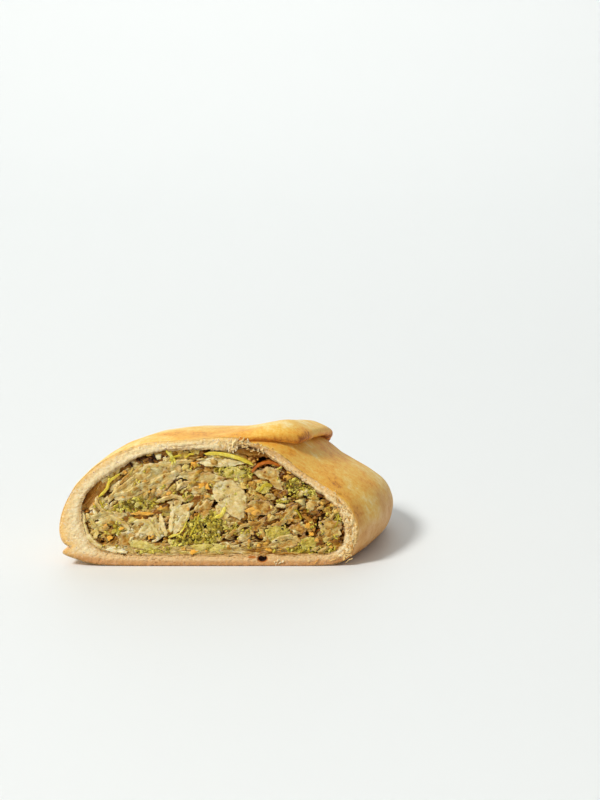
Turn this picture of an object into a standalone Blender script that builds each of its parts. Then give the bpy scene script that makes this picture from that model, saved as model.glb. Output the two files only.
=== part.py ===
"""Half of a baked vegetable pasty, cut across on a slant.

A sheet of pastry is wrapped round the filling: it starts under the left side, runs over the top, and its
free edge laps the right-hand side as a raised flap. The far end is closed and rounded, and the base is flat.
The cut faces -Y and the closed end +Y. The box round the part is centred on the origin and stands on Z = 0.
"""

import math

import bmesh
import bpy
from mathutils import Vector, noise

MM = 0.001

# Driving dimensions of the half pasty.
LENGTH = 84 * MM  # from the cut to the closed end
END_WALL = 5 * MM  # pastry at the closed end
END_GAP = 1.5 * MM  # air between the filling and the closed end
SLANT = math.tan(math.radians(18))  # sideways run of the pasty's axis for each unit of depth
SIDE_SWELL = 0.105  # how much wider the middle is than the cut
TOP_SWELL = 0.018  # how much higher the middle is than the cut
SIDE_ROUNDING = 0.74  # powers of the cosine that closes the end
TOP_ROUNDING = 0.85
NOSE_LIFT = 7 * MM  # height at which the closed end's nose stands off the base line
NOSE_START = 0.85  # share of the length after which the nose lifts

# The flap: the free edge of the sheet, lapping the top right.
FLAP_THICKNESS = 4.4 * MM
FLAP_AT_CUT = 0.3  # share of its thickness left where the knife pressed it down
FLAP_RISE = 13 * MM  # depth at which it has its full thickness and has run out to the right
FLAP_RAMP = 24 * MM  # how far back from its edge the double thickness fades into the top
FLAP_FADE = 0.62  # share of the length after which the flap melts into the crust
SEAM_AT_CUT = 13.0 * MM  # X of the flap's edge at the cut
SEAM_RUN_OUT = 10.0 * MM  # how much further right it lies at FLAP_RISE

# The section at the cut, clockwise from the middle of the base, in millimetres: X and Z of the crust's
# outside, X and Z of its inside, and the air gap between that and the filling. The foot of the base sheet
# sticks out at the bottom left, under a notch.
SECTION = (
    (2.0, 0.0, 2.0, 3.5, 0.4),
    (-24.0, 0.0, -24.0, 3.7, 0.4),
    (-36.8, 0.6, -33.0, 4.5, 0.5),
    (-43.2, 2.5, -36.0, 5.7, 0.6),
    (-47.2, 4.6, -37.8, 7.2, 0.7),
    (-44.6, 6.2, -39.1, 9.2, 0.8),
    (-47.0, 8.2, -40.2, 12.2, 0.9),
    (-48.3, 12.5, -41.0, 15.6, 1.2),
    (-46.9, 19.5, -41.0, 20.4, 1.7),
    (-42.6, 27.2, -37.6, 26.2, 2.2),
    (-33.5, 35.4, -30.4, 31.6, 2.2),
    (-20.5, 40.8, -18.6, 37.6, 1.3),
    (-4.0, 41.8, -3.8, 38.8, 1.6),
    (12.0, 41.2, 11.4, 38.2, 2.8),
    (21.5, 38.6, 19.9, 35.9, 2.4),
    (31.0, 31.4, 29.0, 29.9, 0.9),
    (41.0, 24.6, 38.2, 22.9, 0.5),
    (46.6, 18.6, 42.8, 17.4, 0.4),
    (48.6, 11.2, 44.3, 11.0, 0.4),
    (45.4, 3.2, 42.0, 5.6, 0.4),
    (36.5, 0.1, 34.5, 3.8, 0.4),
)
LEFTMOST_KNOT = 7
RIGHTMOST_KNOT = 18

# How finely each outline and each loft is faceted.
LEFT_POINTS = 46
EDGE_POINTS = 5  # round the flap's edge
EDGE_TURN = math.radians(80)  # how far they turn, from the flap's top to its steep edge
EDGE_SPAN = 3 * MM  # stretch of the inside that lies under those points
RIGHT_POINTS = 26
CRUST_RINGS = 17
CAVITY_RINGS = 12
FILLING_RINGS = 9
LAST_RING = math.radians(86)  # the angle of the ring nearest the closed end's pole

# The filling's uneven face at the cut.
FACE_RINGS = 5
FACE_RELIEF = 1.1 * MM
FACE_SETBACK = 0.8 * MM
FACE_GRAIN = 9 * MM  # size of its lumps


def catmull_rom(knots, place):
    """The point at place, from 0 to len(knots), on the smooth closed curve through the knots."""
    count = len(knots)
    start = math.floor(place)
    t = place - start
    before, first, second, after = (knots[(start + k) % count] for k in (-1, 0, 1, 2))
    return tuple(
        0.5 * (2 * b + (c - a) * t + (2 * a - 5 * b + 4 * c - d) * t**2 + (3 * b - a - 3 * c + d) * t**3)
        for a, b, c, d in zip(before, first, second, after)
    )


class Outline:
    """A smooth closed curve in the section's plane. Its places rise by 1 from knot to knot."""

    def __init__(self, knots):
        self.knots = knots

    def point(self, place):
        """(X, Z) in metres, never below the base."""
        x, z = catmull_rom(self.knots, place)
        return Vector((x, max(z, 0.0))) * MM

    def frame(self, place):
        """The point at a place, the direction in which places rise, and the outward normal."""
        reach = 0.05
        along = (self.point(place + reach) - self.point(place - reach)).normalized()
        return self.point(place), along, Vector((-along.y, along.x))


OUTSIDE = Outline([row[0:2] for row in SECTION])
INSIDE = Outline([row[2:4] for row in SECTION])
AIR_GAP = [row[4:] for row in SECTION]


def smooth_step(low, high, value):
    t = min(1.0, max(0.0, (value - low) / (high - low)))
    return t * t * (3 - 2 * t)


def spread(low, high, count):
    """count values from low up to, and without, high."""
    return [low + (high - low) * k / count for k in range(count)]


def place_on_top(x):
    """The place where the upper side of the crust's outside passes X = x."""
    low, high = LEFTMOST_KNOT, RIGHTMOST_KNOT
    for _ in range(30):
        middle = (low + high) / 2
        if OUTSIDE.point(middle).x < x:
            low = middle
        else:
            high = middle
    return low


def seam_x(depth):
    """X of the flap's free edge at a depth."""
    return SEAM_AT_CUT + SEAM_RUN_OUT * smooth_step(0, FLAP_RISE, depth)


def flap_height(depth):
    """The flap's thickness at a depth."""
    rise = FLAP_AT_CUT + (1 - FLAP_AT_CUT) * smooth_step(0, FLAP_RISE, depth)
    fade = 1 - smooth_step(FLAP_FADE * LENGTH, 0.97 * LENGTH, depth)
    return FLAP_THICKNESS * rise * max(fade, 0.02)


def crust_outline(depth):
    """The crust's outer outline: the section, with the flap laid over its top right."""
    edge_x, height = seam_x(depth), flap_height(depth)
    ramp, full, edge, foot = (
        place_on_top(x) for x in (edge_x - FLAP_RAMP, edge_x - height, edge_x, edge_x + 0.6 * height)
    )
    points = []
    for place in spread(0, edge, LEFT_POINTS):
        point, _, outward = OUTSIDE.frame(place)
        points.append(point + outward * height * smooth_step(ramp, full, place))
    point, along, outward = OUTSIDE.frame(edge)
    centre = point + outward * height / 2
    for k in range(EDGE_POINTS):
        turn = EDGE_TURN * (1 - k / (EDGE_POINTS - 1))
        points.append(centre + (along * math.cos(turn) + outward * math.sin(turn)) * height / 2)
    return points + [OUTSIDE.point(place) for place in spread(foot, len(SECTION), RIGHT_POINTS)]


def inner_outline(gap_share):
    """The crust's inside, set in by a share of the air gap, with as many points as crust_outline."""
    start, end = (place_on_top(SEAM_AT_CUT + side * EDGE_SPAN / 2) for side in (-1, 1))
    places = spread(0, start, LEFT_POINTS) + spread(start, end, EDGE_POINTS)
    places += spread(end, len(SECTION), RIGHT_POINTS)
    points = []
    for place in places:
        point, _, outward = INSIDE.frame(place)
        points.append(point - outward * gap_share * catmull_rom(AIR_GAP, place)[0] * MM)
    return points


def place_ring(outline, angle, length):
    """Sets an outline in its place along the pasty: angle 0 is the cut and 90 degrees the closed end."""
    share = math.sin(angle)
    depth = length * share
    wide = math.cos(angle) ** SIDE_ROUNDING * (1 + SIDE_SWELL * math.sin(math.pi * share**0.9))
    high = math.cos(angle) ** TOP_ROUNDING * (1 + TOP_SWELL * math.sin(math.pi * share**0.8))
    floor = min(point.y for point in outline)
    lift = NOSE_LIFT * max(0.0, (share - NOSE_START) / (1 - NOSE_START)) ** 2
    return [
        Vector((SLANT * depth + point.x * wide, depth, lift + floor + (point.y - floor) * high))
        for point in outline
    ]


def ring_angles(count):
    """count angles from the cut to the closed end, closer together where the end turns in."""
    return [LAST_RING * (k / (count - 1)) ** 0.9 for k in range(count)]


def crust_rings():
    """Rings from the closed end along the outside to the cut, and back along the inside."""
    outside = [
        place_ring(crust_outline(LENGTH * math.sin(angle)), angle, LENGTH)
        for angle in ring_angles(CRUST_RINGS)
    ]
    cavity = inner_outline(gap_share=0)
    inside = [place_ring(cavity, angle, LENGTH - END_WALL) for angle in ring_angles(CAVITY_RINGS)]
    return outside[::-1] + inside


def filling_rings():
    """Rings from the closed end along the filling to its uneven face, and over that to the middle."""
    body = inner_outline(gap_share=1)
    length = LENGTH - END_WALL - END_GAP
    rings = [place_ring(body, angle, length) for angle in ring_angles(FILLING_RINGS)][::-1]
    rim = rings[-1]
    for point in rim:
        point.y += FACE_SETBACK
    centre = sum(rim, Vector()) / len(rim)
    for k in range(1, FACE_RINGS + 1):
        ring = [point.lerp(centre, k / (FACE_RINGS + 1)) for point in rim]
        for point in ring:
            point.y -= FACE_SETBACK - FACE_RELIEF * noise.noise(point / FACE_GRAIN)
        rings.append(ring)
    return rings


def loft(name, rings, collection, material):
    """A closed solid through the rings, with a pole inside each end ring."""
    bm = bmesh.new()
    loops = [[bm.verts.new(point) for point in ring] for ring in rings]
    for loop, following in zip(loops, loops[1:]):
        for k, vertex in enumerate(loop):
            bm.faces.new((loop[k - 1], vertex, following[k], following[k - 1]))
    for loop, outward in ((loops[0], 1), (loops[-1], -1)):
        pole = bm.verts.new(sum((vertex.co for vertex in loop), Vector()) / len(loop))
        for k, vertex in enumerate(loop):
            bm.faces.new((loop[k - 1], vertex, pole)[::outward])
    bmesh.ops.recalc_face_normals(bm, faces=bm.faces)
    bmesh.ops.triangulate(bm, faces=bm.faces)
    mesh = bpy.data.meshes.new(name)
    bm.to_mesh(mesh)
    bm.free()
    mesh.shade_smooth()
    mesh.set_sharp_from_angle(angle=math.radians(50))
    mesh.materials.append(material)
    solid = bpy.data.objects.new(name, mesh)
    collection.objects.link(solid)
    return solid


def food_material(name, colour, roughness):
    material = bpy.data.materials.new(name)
    material.use_nodes = True
    shader = material.node_tree.nodes["Principled BSDF"]
    shader.inputs["Base Color"].default_value = (*colour, 1)
    shader.inputs["Roughness"].default_value = roughness
    shader.inputs["Metallic"].default_value = 0
    return material


def centre_on_base(solids):
    """Moves the solids so that the box round them is centred on the origin and stands on Z = 0."""
    corners = [vertex.co for solid in solids for vertex in solid.data.vertices]
    low, high = (Vector(pick(corner[k] for corner in corners) for k in range(3)) for pick in (min, max))
    shift = Vector((-(low.x + high.x) / 2, -(low.y + high.y) / 2, -low.z))
    for solid in solids:
        solid.data.transform(solid.matrix_world.Translation(shift))


def main():
    for leftover in list(bpy.data.objects):
        bpy.data.objects.remove(leftover)
    collection = bpy.data.collections.new("vegetable_pasty_half")
    bpy.context.scene.collection.children.link(collection)
    baked_pastry = food_material("baked_pastry", (0.71, 0.42, 0.15), 0.5)
    cooked_vegetables = food_material("cooked_vegetables", (0.52, 0.43, 0.17), 0.45)
    crust = loft("crust", crust_rings(), collection, baked_pastry)
    filling = loft("filling", filling_rings(), collection, cooked_vegetables)
    centre_on_base([crust, filling])


main()
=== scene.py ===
"""Half of a baked vegetable pasty: the browned sheet of pastry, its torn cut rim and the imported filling."""

import math
import random

import bmesh
import bpy
import numpy as np
from mathutils import Matrix, Vector, noise


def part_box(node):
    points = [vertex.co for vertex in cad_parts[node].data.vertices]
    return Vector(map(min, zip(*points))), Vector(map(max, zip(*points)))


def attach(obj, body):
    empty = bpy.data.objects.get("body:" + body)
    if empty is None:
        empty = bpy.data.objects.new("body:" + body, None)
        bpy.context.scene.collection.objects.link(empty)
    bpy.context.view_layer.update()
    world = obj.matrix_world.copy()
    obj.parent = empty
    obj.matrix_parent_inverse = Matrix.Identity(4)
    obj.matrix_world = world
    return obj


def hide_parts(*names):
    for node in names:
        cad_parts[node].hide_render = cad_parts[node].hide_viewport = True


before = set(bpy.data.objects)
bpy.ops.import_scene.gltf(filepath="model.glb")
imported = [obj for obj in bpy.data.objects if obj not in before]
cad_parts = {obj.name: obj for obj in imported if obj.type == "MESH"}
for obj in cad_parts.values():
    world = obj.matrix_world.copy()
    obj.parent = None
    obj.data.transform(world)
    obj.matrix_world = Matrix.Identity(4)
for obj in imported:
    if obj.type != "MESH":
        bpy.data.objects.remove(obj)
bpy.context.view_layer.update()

MM = 0.001

# Where the section stands: its X = 0 in the frame, and the plane of the cut.
CRUST_LOW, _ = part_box("crust")
LEFT_REACH = 48.25 * MM  # from the section's X = 0 to the crust's leftmost point at the cut
SECTION_X = CRUST_LOW.x + LEFT_REACH
CUT_Y = CRUST_LOW.y

# The pasty's driving dimensions, the same as the solid's.
LENGTH = 84 * MM
END_WALL = 5 * MM
SLANT = math.tan(math.radians(18))
SIDE_SWELL = 0.105
TOP_SWELL = 0.018
SIDE_ROUNDING = 0.74
TOP_ROUNDING = 0.85
NOSE_LIFT = 7 * MM
NOSE_START = 0.85

# The flap: the sheet's free edge, which laps the top right and runs back to the closed end.
FLAP_THICKNESS = 3.4 * MM
FLAP_AT_CUT = 0.3  # the share of its thickness that it has at the cut
FLAP_LIFT = 0.9 * MM  # open gap under its edge
FLAP_OVERHANG = 2.6 * MM
FLAP_RISE = 11 * MM  # how far behind the cut it has its full thickness
FLAP_CREST = 15 * MM  # where the flap is thickest
FLAP_CREST_REACH = 9 * MM
FLAP_CREST_SHARE = 0.2
FLAP_RAMP = 24 * MM  # how wide the slope up to its edge is
FLAP_FADE = 0.62  # the shares of the length between which it melts away
FLAP_GONE = 0.97
FLAP_LEAST = 0.02
SEAM_AT_CUT = 9.5 * MM  # where its edge lies at the cut
SEAM_RUN_OUT = 13.5 * MM  # how far it then moves to the right
SEAM_BOW = 1.7
SEAM_WAVER = 0.5 * MM
SEAM_WAVE = 4 * MM

# The studio's floor and backdrop, in metres.
SWEEP_FRONT = 2.5
SWEEP_FLAT = 3.6
SWEEP_BEND = 0.9
SWEEP_RUN = 7.5
SWEEP_HALF_WIDTH = 4
SWEEP_STEPS = 48

# The lights: where each stands and what it faces, its width in metres, its power in watts and its colour.
LIGHTS = {
    "key": ((-1.25, -1.2, 1.75), (0, 0, 0.02), 0.6, 53.0, (1.0, 0.985, 0.96)),
    "backdrop_light": ((0, 0.9, 1.9), (0, 2.0, 1.2), 1.4, 17.0, (1, 1, 1)),
}
ROOM_LIGHT = 0.37

# The camera: how far it stands to the right of the section's X = 0, in front of the cut and over the floor,
# and by how many degrees it looks down.
CAMERA_RIGHT = 29.8 * MM
CAMERA_BACK = 628 * MM
CAMERA_HEIGHT = 181 * MM
LOOK_DOWN = 11.33
LENS = 90
SENSOR = 36

# The section at the cut in millimetres, clockwise from the middle of the base: the outside's X and Z, and
# the inside's.
SECTION = np.array((
    (2.0, 0.0, 2.0, 3.5),
    (-24.0, 0.0, -24.0, 3.7),
    (-36.8, 0.6, -33.0, 4.5),
    (-43.2, 2.5, -36.0, 5.7),
    (-47.2, 4.6, -37.8, 7.2),
    (-44.6, 6.2, -39.1, 9.2),
    (-47.0, 8.2, -40.2, 12.2),
    (-48.3, 12.5, -41.0, 15.6),
    (-46.9, 19.5, -41.0, 20.4),
    (-42.6, 27.2, -37.6, 26.2),
    (-33.5, 35.4, -30.4, 31.6),
    (-20.5, 40.8, -18.6, 37.6),
    (-4.0, 41.8, -3.8, 38.8),
    (12.0, 41.2, 11.4, 38.2),
    (21.5, 38.6, 19.9, 35.9),
    (31.0, 31.4, 29.0, 29.9),
    (41.0, 24.6, 38.2, 22.9),
    (46.6, 18.6, 42.8, 17.4),
    (48.6, 11.2, 44.3, 11.0),
    (45.4, 3.2, 42.0, 5.6),
    (36.5, 0.1, 34.5, 3.8),
)) * MM
LEFTMOST_KNOT = 7
RIGHTMOST_KNOT = 18
OUTSIDE = SECTION[:, 0:2]
INSIDE = SECTION[:, 2:4]

# Marks in the rim, as ovals: X and Z of the middle, half width, half height and slope.
BURNT_HOLE = (17.6 * MM, 2.4 * MM, 1.55 * MM, 1.1 * MM, 0.1)
BURNT_STAIN = (14.2 * MM, 3.0 * MM, 1.6 * MM, 0.5 * MM, 0.0)
# The hollow under the seam is set back and painted dark brown: partly the crumb's colour, partly painted
# shade under the flap.
SEAM_HOLLOW = (14.4 * MM, 37.5 * MM, 6.2 * MM, 2.1 * MM, -0.38)

# The skin's browning, with painted highlight and painted shade added into it, runs from 0 to 1. Patches of
# the top
# are browner or paler: by how much, then the middle and the reach behind the cut, and the middle and the
# reach across it, in millimetres.
BROWNING = 0.4
MOST_BROWNING = 0.88
TOP_PATCHES = (
    # The first, paler patch atop the flap is a painted highlight.
    (-0.1, 16, 9, 23, 9),
    (0.15, 3, 7, 3, 13),
    (0.12, 14, 10, 7, 9),
)

# How finely the crust is meshed, in rows from the closed end over the outside, the rim and the inside.
LEFT_COLUMNS = 500
LIP_COLUMNS = 40
RIGHT_COLUMNS = 340
OUTER_ROWS = 66
RIM_ROWS = 21
INNER_ROWS = 20
OUTER = slice(0, OUTER_ROWS)
RIM = slice(OUTER_ROWS, OUTER_ROWS + RIM_ROWS)
INNER = slice(OUTER_ROWS + RIM_ROWS, OUTER_ROWS + RIM_ROWS + INNER_ROWS)
LAST_ANGLE = math.radians(89.9)
MERGE = 0.002 * MM  # points closer than this become one


def smooth_step(low, high, value):
    t = np.clip((value - low) / (high - low), 0.0, 1.0)
    return t * t * (3 - 2 * t)


def bump_at(value, centre, reach):
    """A smooth hump that is 1 at centre and fades within reach."""
    return np.exp(-(((value - centre) / reach) ** 2))


def curve(knots, places):
    """Points on the smooth closed curve through the knots; a place rises by 1 from knot to knot."""
    start = np.floor(places).astype(int)
    t = (places - start)[:, None]
    a, b, c, d = (knots[(start + k) % len(knots)] for k in (-1, 0, 1, 2))
    return 0.5 * (2 * b + (c - a) * t + (2 * a - 5 * b + 4 * c - d) * t**2 + (3 * b - a - 3 * c + d) * t**3)


def outward(knots, places):
    """Unit vectors that point out of the curve."""
    along = curve(knots, places + 0.05) - curve(knots, places - 0.05)
    along /= np.linalg.norm(along, axis=1)[:, None]
    return np.stack((-along[:, 1], along[:, 0]), axis=1)


def closed(grid):
    """A grid with its first column once more at the end."""
    return np.concatenate((grid, grid[:, :1]), axis=1)


def x_of(points):
    """How far points lie from the section's X = 0."""
    return points[..., 0] - SECTION_X


def noise_at(points, grain, seed=0.0):
    """Smooth noise from -1 to 1 at an array of points, whose lumps are about grain across."""
    flat = points.reshape(-1, points.shape[-1]) / grain + seed
    return np.array([noise.noise(p) for p in flat.tolist()]).reshape(points.shape[:-1])


def layered_noise(points, *layers):
    """Noise of several grains: each layer has its height, its grain in millimetres and its seed."""
    return sum(height * noise_at(points, grain * MM, seed) for height, grain, seed in layers)


def pores(points, size, seed):
    """1 in the middle of small round pores and 0 between them."""
    flat = (points.reshape(-1, 3) / size + seed).tolist()
    nearest = np.array([noise.voronoi(p)[0][0] for p in flat]).reshape(points.shape[:-1])
    return 1 - smooth_step(0.12, 0.42, nearest)


def oval_reach(oval, x, z):
    """How far a place of the cut is from an oval's middle, where the oval's edge is at 1."""
    centre_x, centre_z, half_wide, half_high, slope = oval
    c, s = math.cos(slope), math.sin(slope)
    along = (x - centre_x) * c + (z - centre_z) * s
    over = (z - centre_z) * c - (x - centre_x) * s
    return np.hypot(along / half_wide, over / half_high)


def mark_at(oval, x, z):
    """1 in the middle of an oval and 0 beyond it, with a soft edge."""
    return 1 - smooth_step(0.4, 1.3, oval_reach(oval, x, z))


def patch_at(ovals, x, z):
    """1 in the middle of an oval, 0 from its edge on."""
    return np.clip(1 - np.min([oval_reach(oval, x, z) for oval in ovals], axis=0), 0, 1)


# ---------------------------------------------------------------- the crust's shape

TOP_PLACES = np.linspace(LEFTMOST_KNOT, RIGHTMOST_KNOT, 1200)
TOP_X = curve(OUTSIDE, TOP_PLACES)[:, 0]


def place_on_top(x):
    """The place where the upper side of the outside passes X = x."""
    return float(np.interp(x, TOP_X, TOP_PLACES))


def even_shares(low, high, count):
    """count shares of the way from place low to high, evenly spaced along the outside."""
    fine = np.linspace(low, high, 4000)
    steps = np.linalg.norm(np.diff(curve(OUTSIDE, fine), axis=0), axis=1)
    length = np.concatenate(([0.0], np.cumsum(steps)))
    wanted = np.linspace(0, length[-1], count, endpoint=False)
    return (np.interp(wanted, length, fine) - low) / (high - low)


LEFT_SHARES = even_shares(0, place_on_top(SEAM_AT_CUT), LEFT_COLUMNS)
RIGHT_SHARES = even_shares(place_on_top(SEAM_AT_CUT), len(OUTSIDE), RIGHT_COLUMNS)


def flap_share(depth):
    """How much of the flap is left at a depth: thin at the cut, full behind it, melting away at the end."""
    rise = FLAP_AT_CUT + (1 - FLAP_AT_CUT) * smooth_step(0, FLAP_RISE, depth)
    rise += FLAP_CREST_SHARE * bump_at(depth, FLAP_CREST, FLAP_CREST_REACH)
    return rise * max(1 - smooth_step(FLAP_FADE * LENGTH, FLAP_GONE * LENGTH, depth), FLAP_LEAST)


def seam_x(depth):
    """Where the flap's edge lies at a depth."""
    t = min(depth / FLAP_RISE, 1.0)
    waver = SEAM_WAVER * noise.noise((depth / SEAM_WAVE, 3.1, 0.0))
    return SEAM_AT_CUT + SEAM_RUN_OUT * (1 - (1 - t) ** SEAM_BOW) + waver


def outer_outline(depth):
    """The crust's outside at a depth, with the flap's rounded and overhanging edge."""
    share = flap_share(depth)
    height, lift, overhang = FLAP_THICKNESS * share, FLAP_LIFT * share, FLAP_OVERHANG * share
    edge_x = seam_x(depth)
    ramp, full, edge, contact = (
        place_on_top(x) for x in (edge_x - FLAP_RAMP, edge_x - height, edge_x, edge_x - overhang)
    )
    left = LEFT_SHARES * edge
    rise = (height + lift) * smooth_step(ramp, full, left)
    top = curve(OUTSIDE, left) + outward(OUTSIDE, left) * rise[:, None]
    here = np.array([edge])
    foot, up = curve(OUTSIDE, here)[0], outward(OUTSIDE, here)[0]
    along = np.array((up[1], -up[0]))
    centre = foot + up * (lift + height / 2)
    round_count = LIP_COLUMNS * 2 // 3
    turns = np.linspace(math.radians(84), math.radians(-90), round_count)
    lip = centre + (np.outer(np.cos(turns), along) + np.outer(np.sin(turns), up)) * height / 2
    back = np.linspace(edge, contact, LIP_COLUMNS - round_count + 1)[1:]
    open_share = np.linspace(1, 0, len(back) + 1)[1:]
    under = curve(OUTSIDE, back) + outward(OUTSIDE, back) * (lift * open_share**0.7)[:, None]
    right = contact + RIGHT_SHARES * (len(OUTSIDE) - contact)
    right[0] = contact + 0.25 * (right[1] - contact)
    return np.concatenate((top, lip, under, curve(OUTSIDE, right)))


def inner_outline():
    """The crust's inside at the cut, with a point for each one of the outer outline's."""
    start, end = place_on_top(SEAM_AT_CUT - 1.5 * MM), place_on_top(SEAM_AT_CUT + 2 * MM)
    lip = np.linspace(start, end, LIP_COLUMNS, endpoint=False)
    right = end + RIGHT_SHARES * (len(INSIDE) - end)
    return curve(INSIDE, np.concatenate((LEFT_SHARES * start, lip, right)))


def place_ring(outline, angle, length):
    """Sets an outline in its place along the pasty: angle 0 is the cut and 90 degrees the closed end."""
    share = math.sin(angle)
    wide = math.cos(angle) ** SIDE_ROUNDING * (1 + SIDE_SWELL * math.sin(math.pi * share**0.9))
    high = math.cos(angle) ** TOP_ROUNDING * (1 + TOP_SWELL * math.sin(math.pi * share**0.8))
    floor = outline[:, 1].min()
    lift = NOSE_LIFT * max(0.0, (share - NOSE_START) / (1 - NOSE_START)) ** 2
    x = SECTION_X + SLANT * length * share + outline[:, 0] * wide
    y = np.full(len(outline), CUT_Y + length * share)
    z = lift + floor + (outline[:, 1] - floor) * high
    return np.stack((x, y, z), axis=1)


def crust_grid():
    """Rows of points from the closed end along the outside, over the rim and back along the inside."""
    angles = LAST_ANGLE * np.linspace(0, 1, OUTER_ROWS) ** 1.25
    outer = [place_ring(outer_outline(LENGTH * math.sin(a)), a, LENGTH) for a in angles]
    inside = inner_outline()
    inner_angles = LAST_ANGLE * np.linspace(0, 1, INNER_ROWS) ** 1.6
    inner = [place_ring(inside, a, LENGTH - END_WALL) for a in inner_angles]
    shares = np.linspace(0, 1, RIM_ROWS + 2)[1:-1]
    rim = [outer[0] + (inner[0] - outer[0]) * share for share in shares]
    across = np.concatenate((np.zeros(OUTER_ROWS), shares, np.ones(INNER_ROWS)))
    return closed(np.array(outer[::-1] + rim + inner)), across


def row_normals(rows):
    """Outward unit normals of a closed grid of points."""
    around = closed(np.roll(rows[:, :-1], -1, axis=1) - np.roll(rows[:, :-1], 1, axis=1))
    normals = np.cross(np.gradient(rows, axis=0), around)
    lengths = np.linalg.norm(normals, axis=2)
    return normals / np.maximum(lengths, 1e-12)[..., None]


def fray_rim(rows, across):
    """Tears the rim's inner edge, and gives the wall's thickness and the length run round the rim."""
    edge, far_edge = rows[OUTER_ROWS - 1].copy(), rows[OUTER_ROWS + RIM_ROWS].copy()
    wall = np.linalg.norm(far_edge - edge, axis=1)
    way = (far_edge - edge) / wall[:, None]
    run = np.concatenate(([0.0], np.cumsum(np.linalg.norm(np.diff(edge, axis=0), axis=1))))

    # Ragged all round, and eaten away under the seam.
    line = np.stack((run / (2.6 * MM), 0 * run, 0 * run), axis=1)
    ragged = 0.5 * noise_at(line, 1.0, 4) + 0.35 * noise_at(line, 0.3, 9)
    off_base = smooth_step(0, 6 * MM, np.minimum(run, run[-1] - run))
    eaten = mark_at(SEAM_HOLLOW, x_of(far_edge), far_edge[:, 2])
    shift = ((0.15 + ragged) * off_base - 1.3 * eaten) * MM
    rows[RIM] += (way * shift[:, None]) * (across[RIM] ** 2)[:, None, None]
    fade = 1 - smooth_step(0, 5 * MM, rows[INNER][..., 1] - CUT_Y)
    rows[INNER] += way * shift[:, None] * fade[..., None]
    return wall, run


def rim_marks(points, share, wall, run):
    """Where the rim is layered, porous, burnt and hollow."""
    x, z = x_of(points), points[..., 2]
    sheets = np.stack((run * np.ones_like(share) / (9 * MM), share * wall / (0.55 * MM), 0 * share), axis=2)
    flaky = np.maximum(smooth_step(24 * MM, 36 * MM, z), smooth_step(38 * MM, 43 * MM, x))
    layers = noise_at(sheets, 1.0, 2.5) * flaky
    openness = smooth_step(-0.1, 0.5, noise_at(points, 7 * MM, 21))
    holes = pores(points * (1, 1, 1.5), 1.2 * MM, 1.7) * openness
    hollow = mark_at(SEAM_HOLLOW, x, z) * smooth_step(0.25, 0.5, share)
    return layers, holes, mark_at(BURNT_HOLE, x, z), hollow


def rim_height(points, share, layers, holes, burn, hollow):
    """How far the rim stands out, or lies below the plane of the cut."""
    crumb = layered_noise(points, (1, 1.3, 4), (0.8, 0.6, 8))
    worn = 0.4 * (bump_at(share, 0, 0.06) + bump_at(share, 1, 0.12))
    torn = smooth_step(39 * MM, 45 * MM, x_of(points)) * (points[..., 2] < 26 * MM)
    rough = 0.19 * layers + (0.17 + 0.2 * torn) * crumb
    return (rough - 0.3 * holes - worn - 1.6 * burn - 2.0 * hollow) * MM


def rim_looks(points, share, layers, holes, burn, hollow):
    """What the rim's finish needs to know of each point."""
    x, z = x_of(points), points[..., 2]
    right_top = smooth_step(10 * MM, 14 * MM, x) * smooth_step(20 * MM, 26 * MM, z)
    left_side = 0.55 * smooth_step(-26 * MM, -34 * MM, x)
    golden = right_top * (1 - smooth_step(0.5, 0.9, share)) + left_side * (1 - smooth_step(0.3, 0.55, share))
    return {
        "rim_face": 1,
        # Painted shade: pores and the low lines between the layers are darker.
        "pore": np.clip(0.8 * holes + 0.6 * smooth_step(0.1, 0.5, -layers), 0, 1),
        "golden": golden,
        "burn": np.clip(1.6 * burn + 0.4 * mark_at(BURNT_STAIN, x, z), 0, 1),
        # Dark brown in the hollow under the seam: partly the crumb's colour, partly painted shade.
        "hollow": hollow,
        "under": 1 - smooth_step(2.2 * MM, 5.5 * MM, z),
    }


def lip_at(columns, middle, reach):
    """1 at a place of the flap's edge, given as a share of it, fading along the columns."""
    return bump_at(columns, LEFT_COLUMNS + LIP_COLUMNS * middle, LIP_COLUMNS * reach)


def skin_looks(points):
    """How browned the outside is, with painted highlight and painted shade in it, and where it is tan,
    towards the base.
    """
    x, depth, z = x_of(points), points[..., 1] - CUT_Y, points[..., 2]
    top, raised = z > 36 * MM, z > 15 * MM
    brown = BROWNING + layered_noise(points, (0.16, 20, 11), (0.12, 7, 13))
    # Browner near the base; paler towards the left, partly less browned and partly a painted highlight on the
    # left shoulder.
    brown += 0.16 * (1 - smooth_step(2 * MM, 6 * MM, z)) - 0.14 * smooth_step(-20 * MM, -44 * MM, x)
    brown += 0.09 * bump_at(depth, 4 * MM, 8 * MM) * smooth_step(-24 * MM, 0, x) * top
    for amount, behind, behind_reach, middle, reach in TOP_PATCHES:
        near = bump_at(depth, behind * MM, behind_reach * MM) * bump_at(x, middle * MM, reach * MM)
        brown += amount * near * top
    # Painted shade: the right slope is browner above the base.
    brown += 0.12 * smooth_step(26 * MM, 36 * MM, x) * smooth_step(12 * MM, 18 * MM, z)

    columns = np.arange(points.shape[1])[None, :]
    # The flap's edge is browned, and the underside of its lip darker: partly toasted, partly painted shade
    # under the edge.
    edge, under_edge = lip_at(columns, 0.3, 0.9) * raised, lip_at(columns, 0.45, 0.3) * raised
    brown += edge * (0.04 + 0.09 * bump_at(depth, 12 * MM, 10 * MM)) + 0.16 * under_edge

    mottled = layered_noise(points, (0.07, 4, 27), (0.1, 1.8, 29))
    banded = 0.06 * bump_at(depth, 3 * MM, 9 * MM) * (z > 16 * MM)
    brown += smooth_step(16 * MM, 26 * MM, x) * (mottled + banded)
    tan = smooth_step(22 * MM, 10 * MM, z + 5 * MM * noise_at(points, 9 * MM, 17))
    return {"browning_and_painted_light": np.clip(brown, 0, MOST_BROWNING), "tan": tan}


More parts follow.
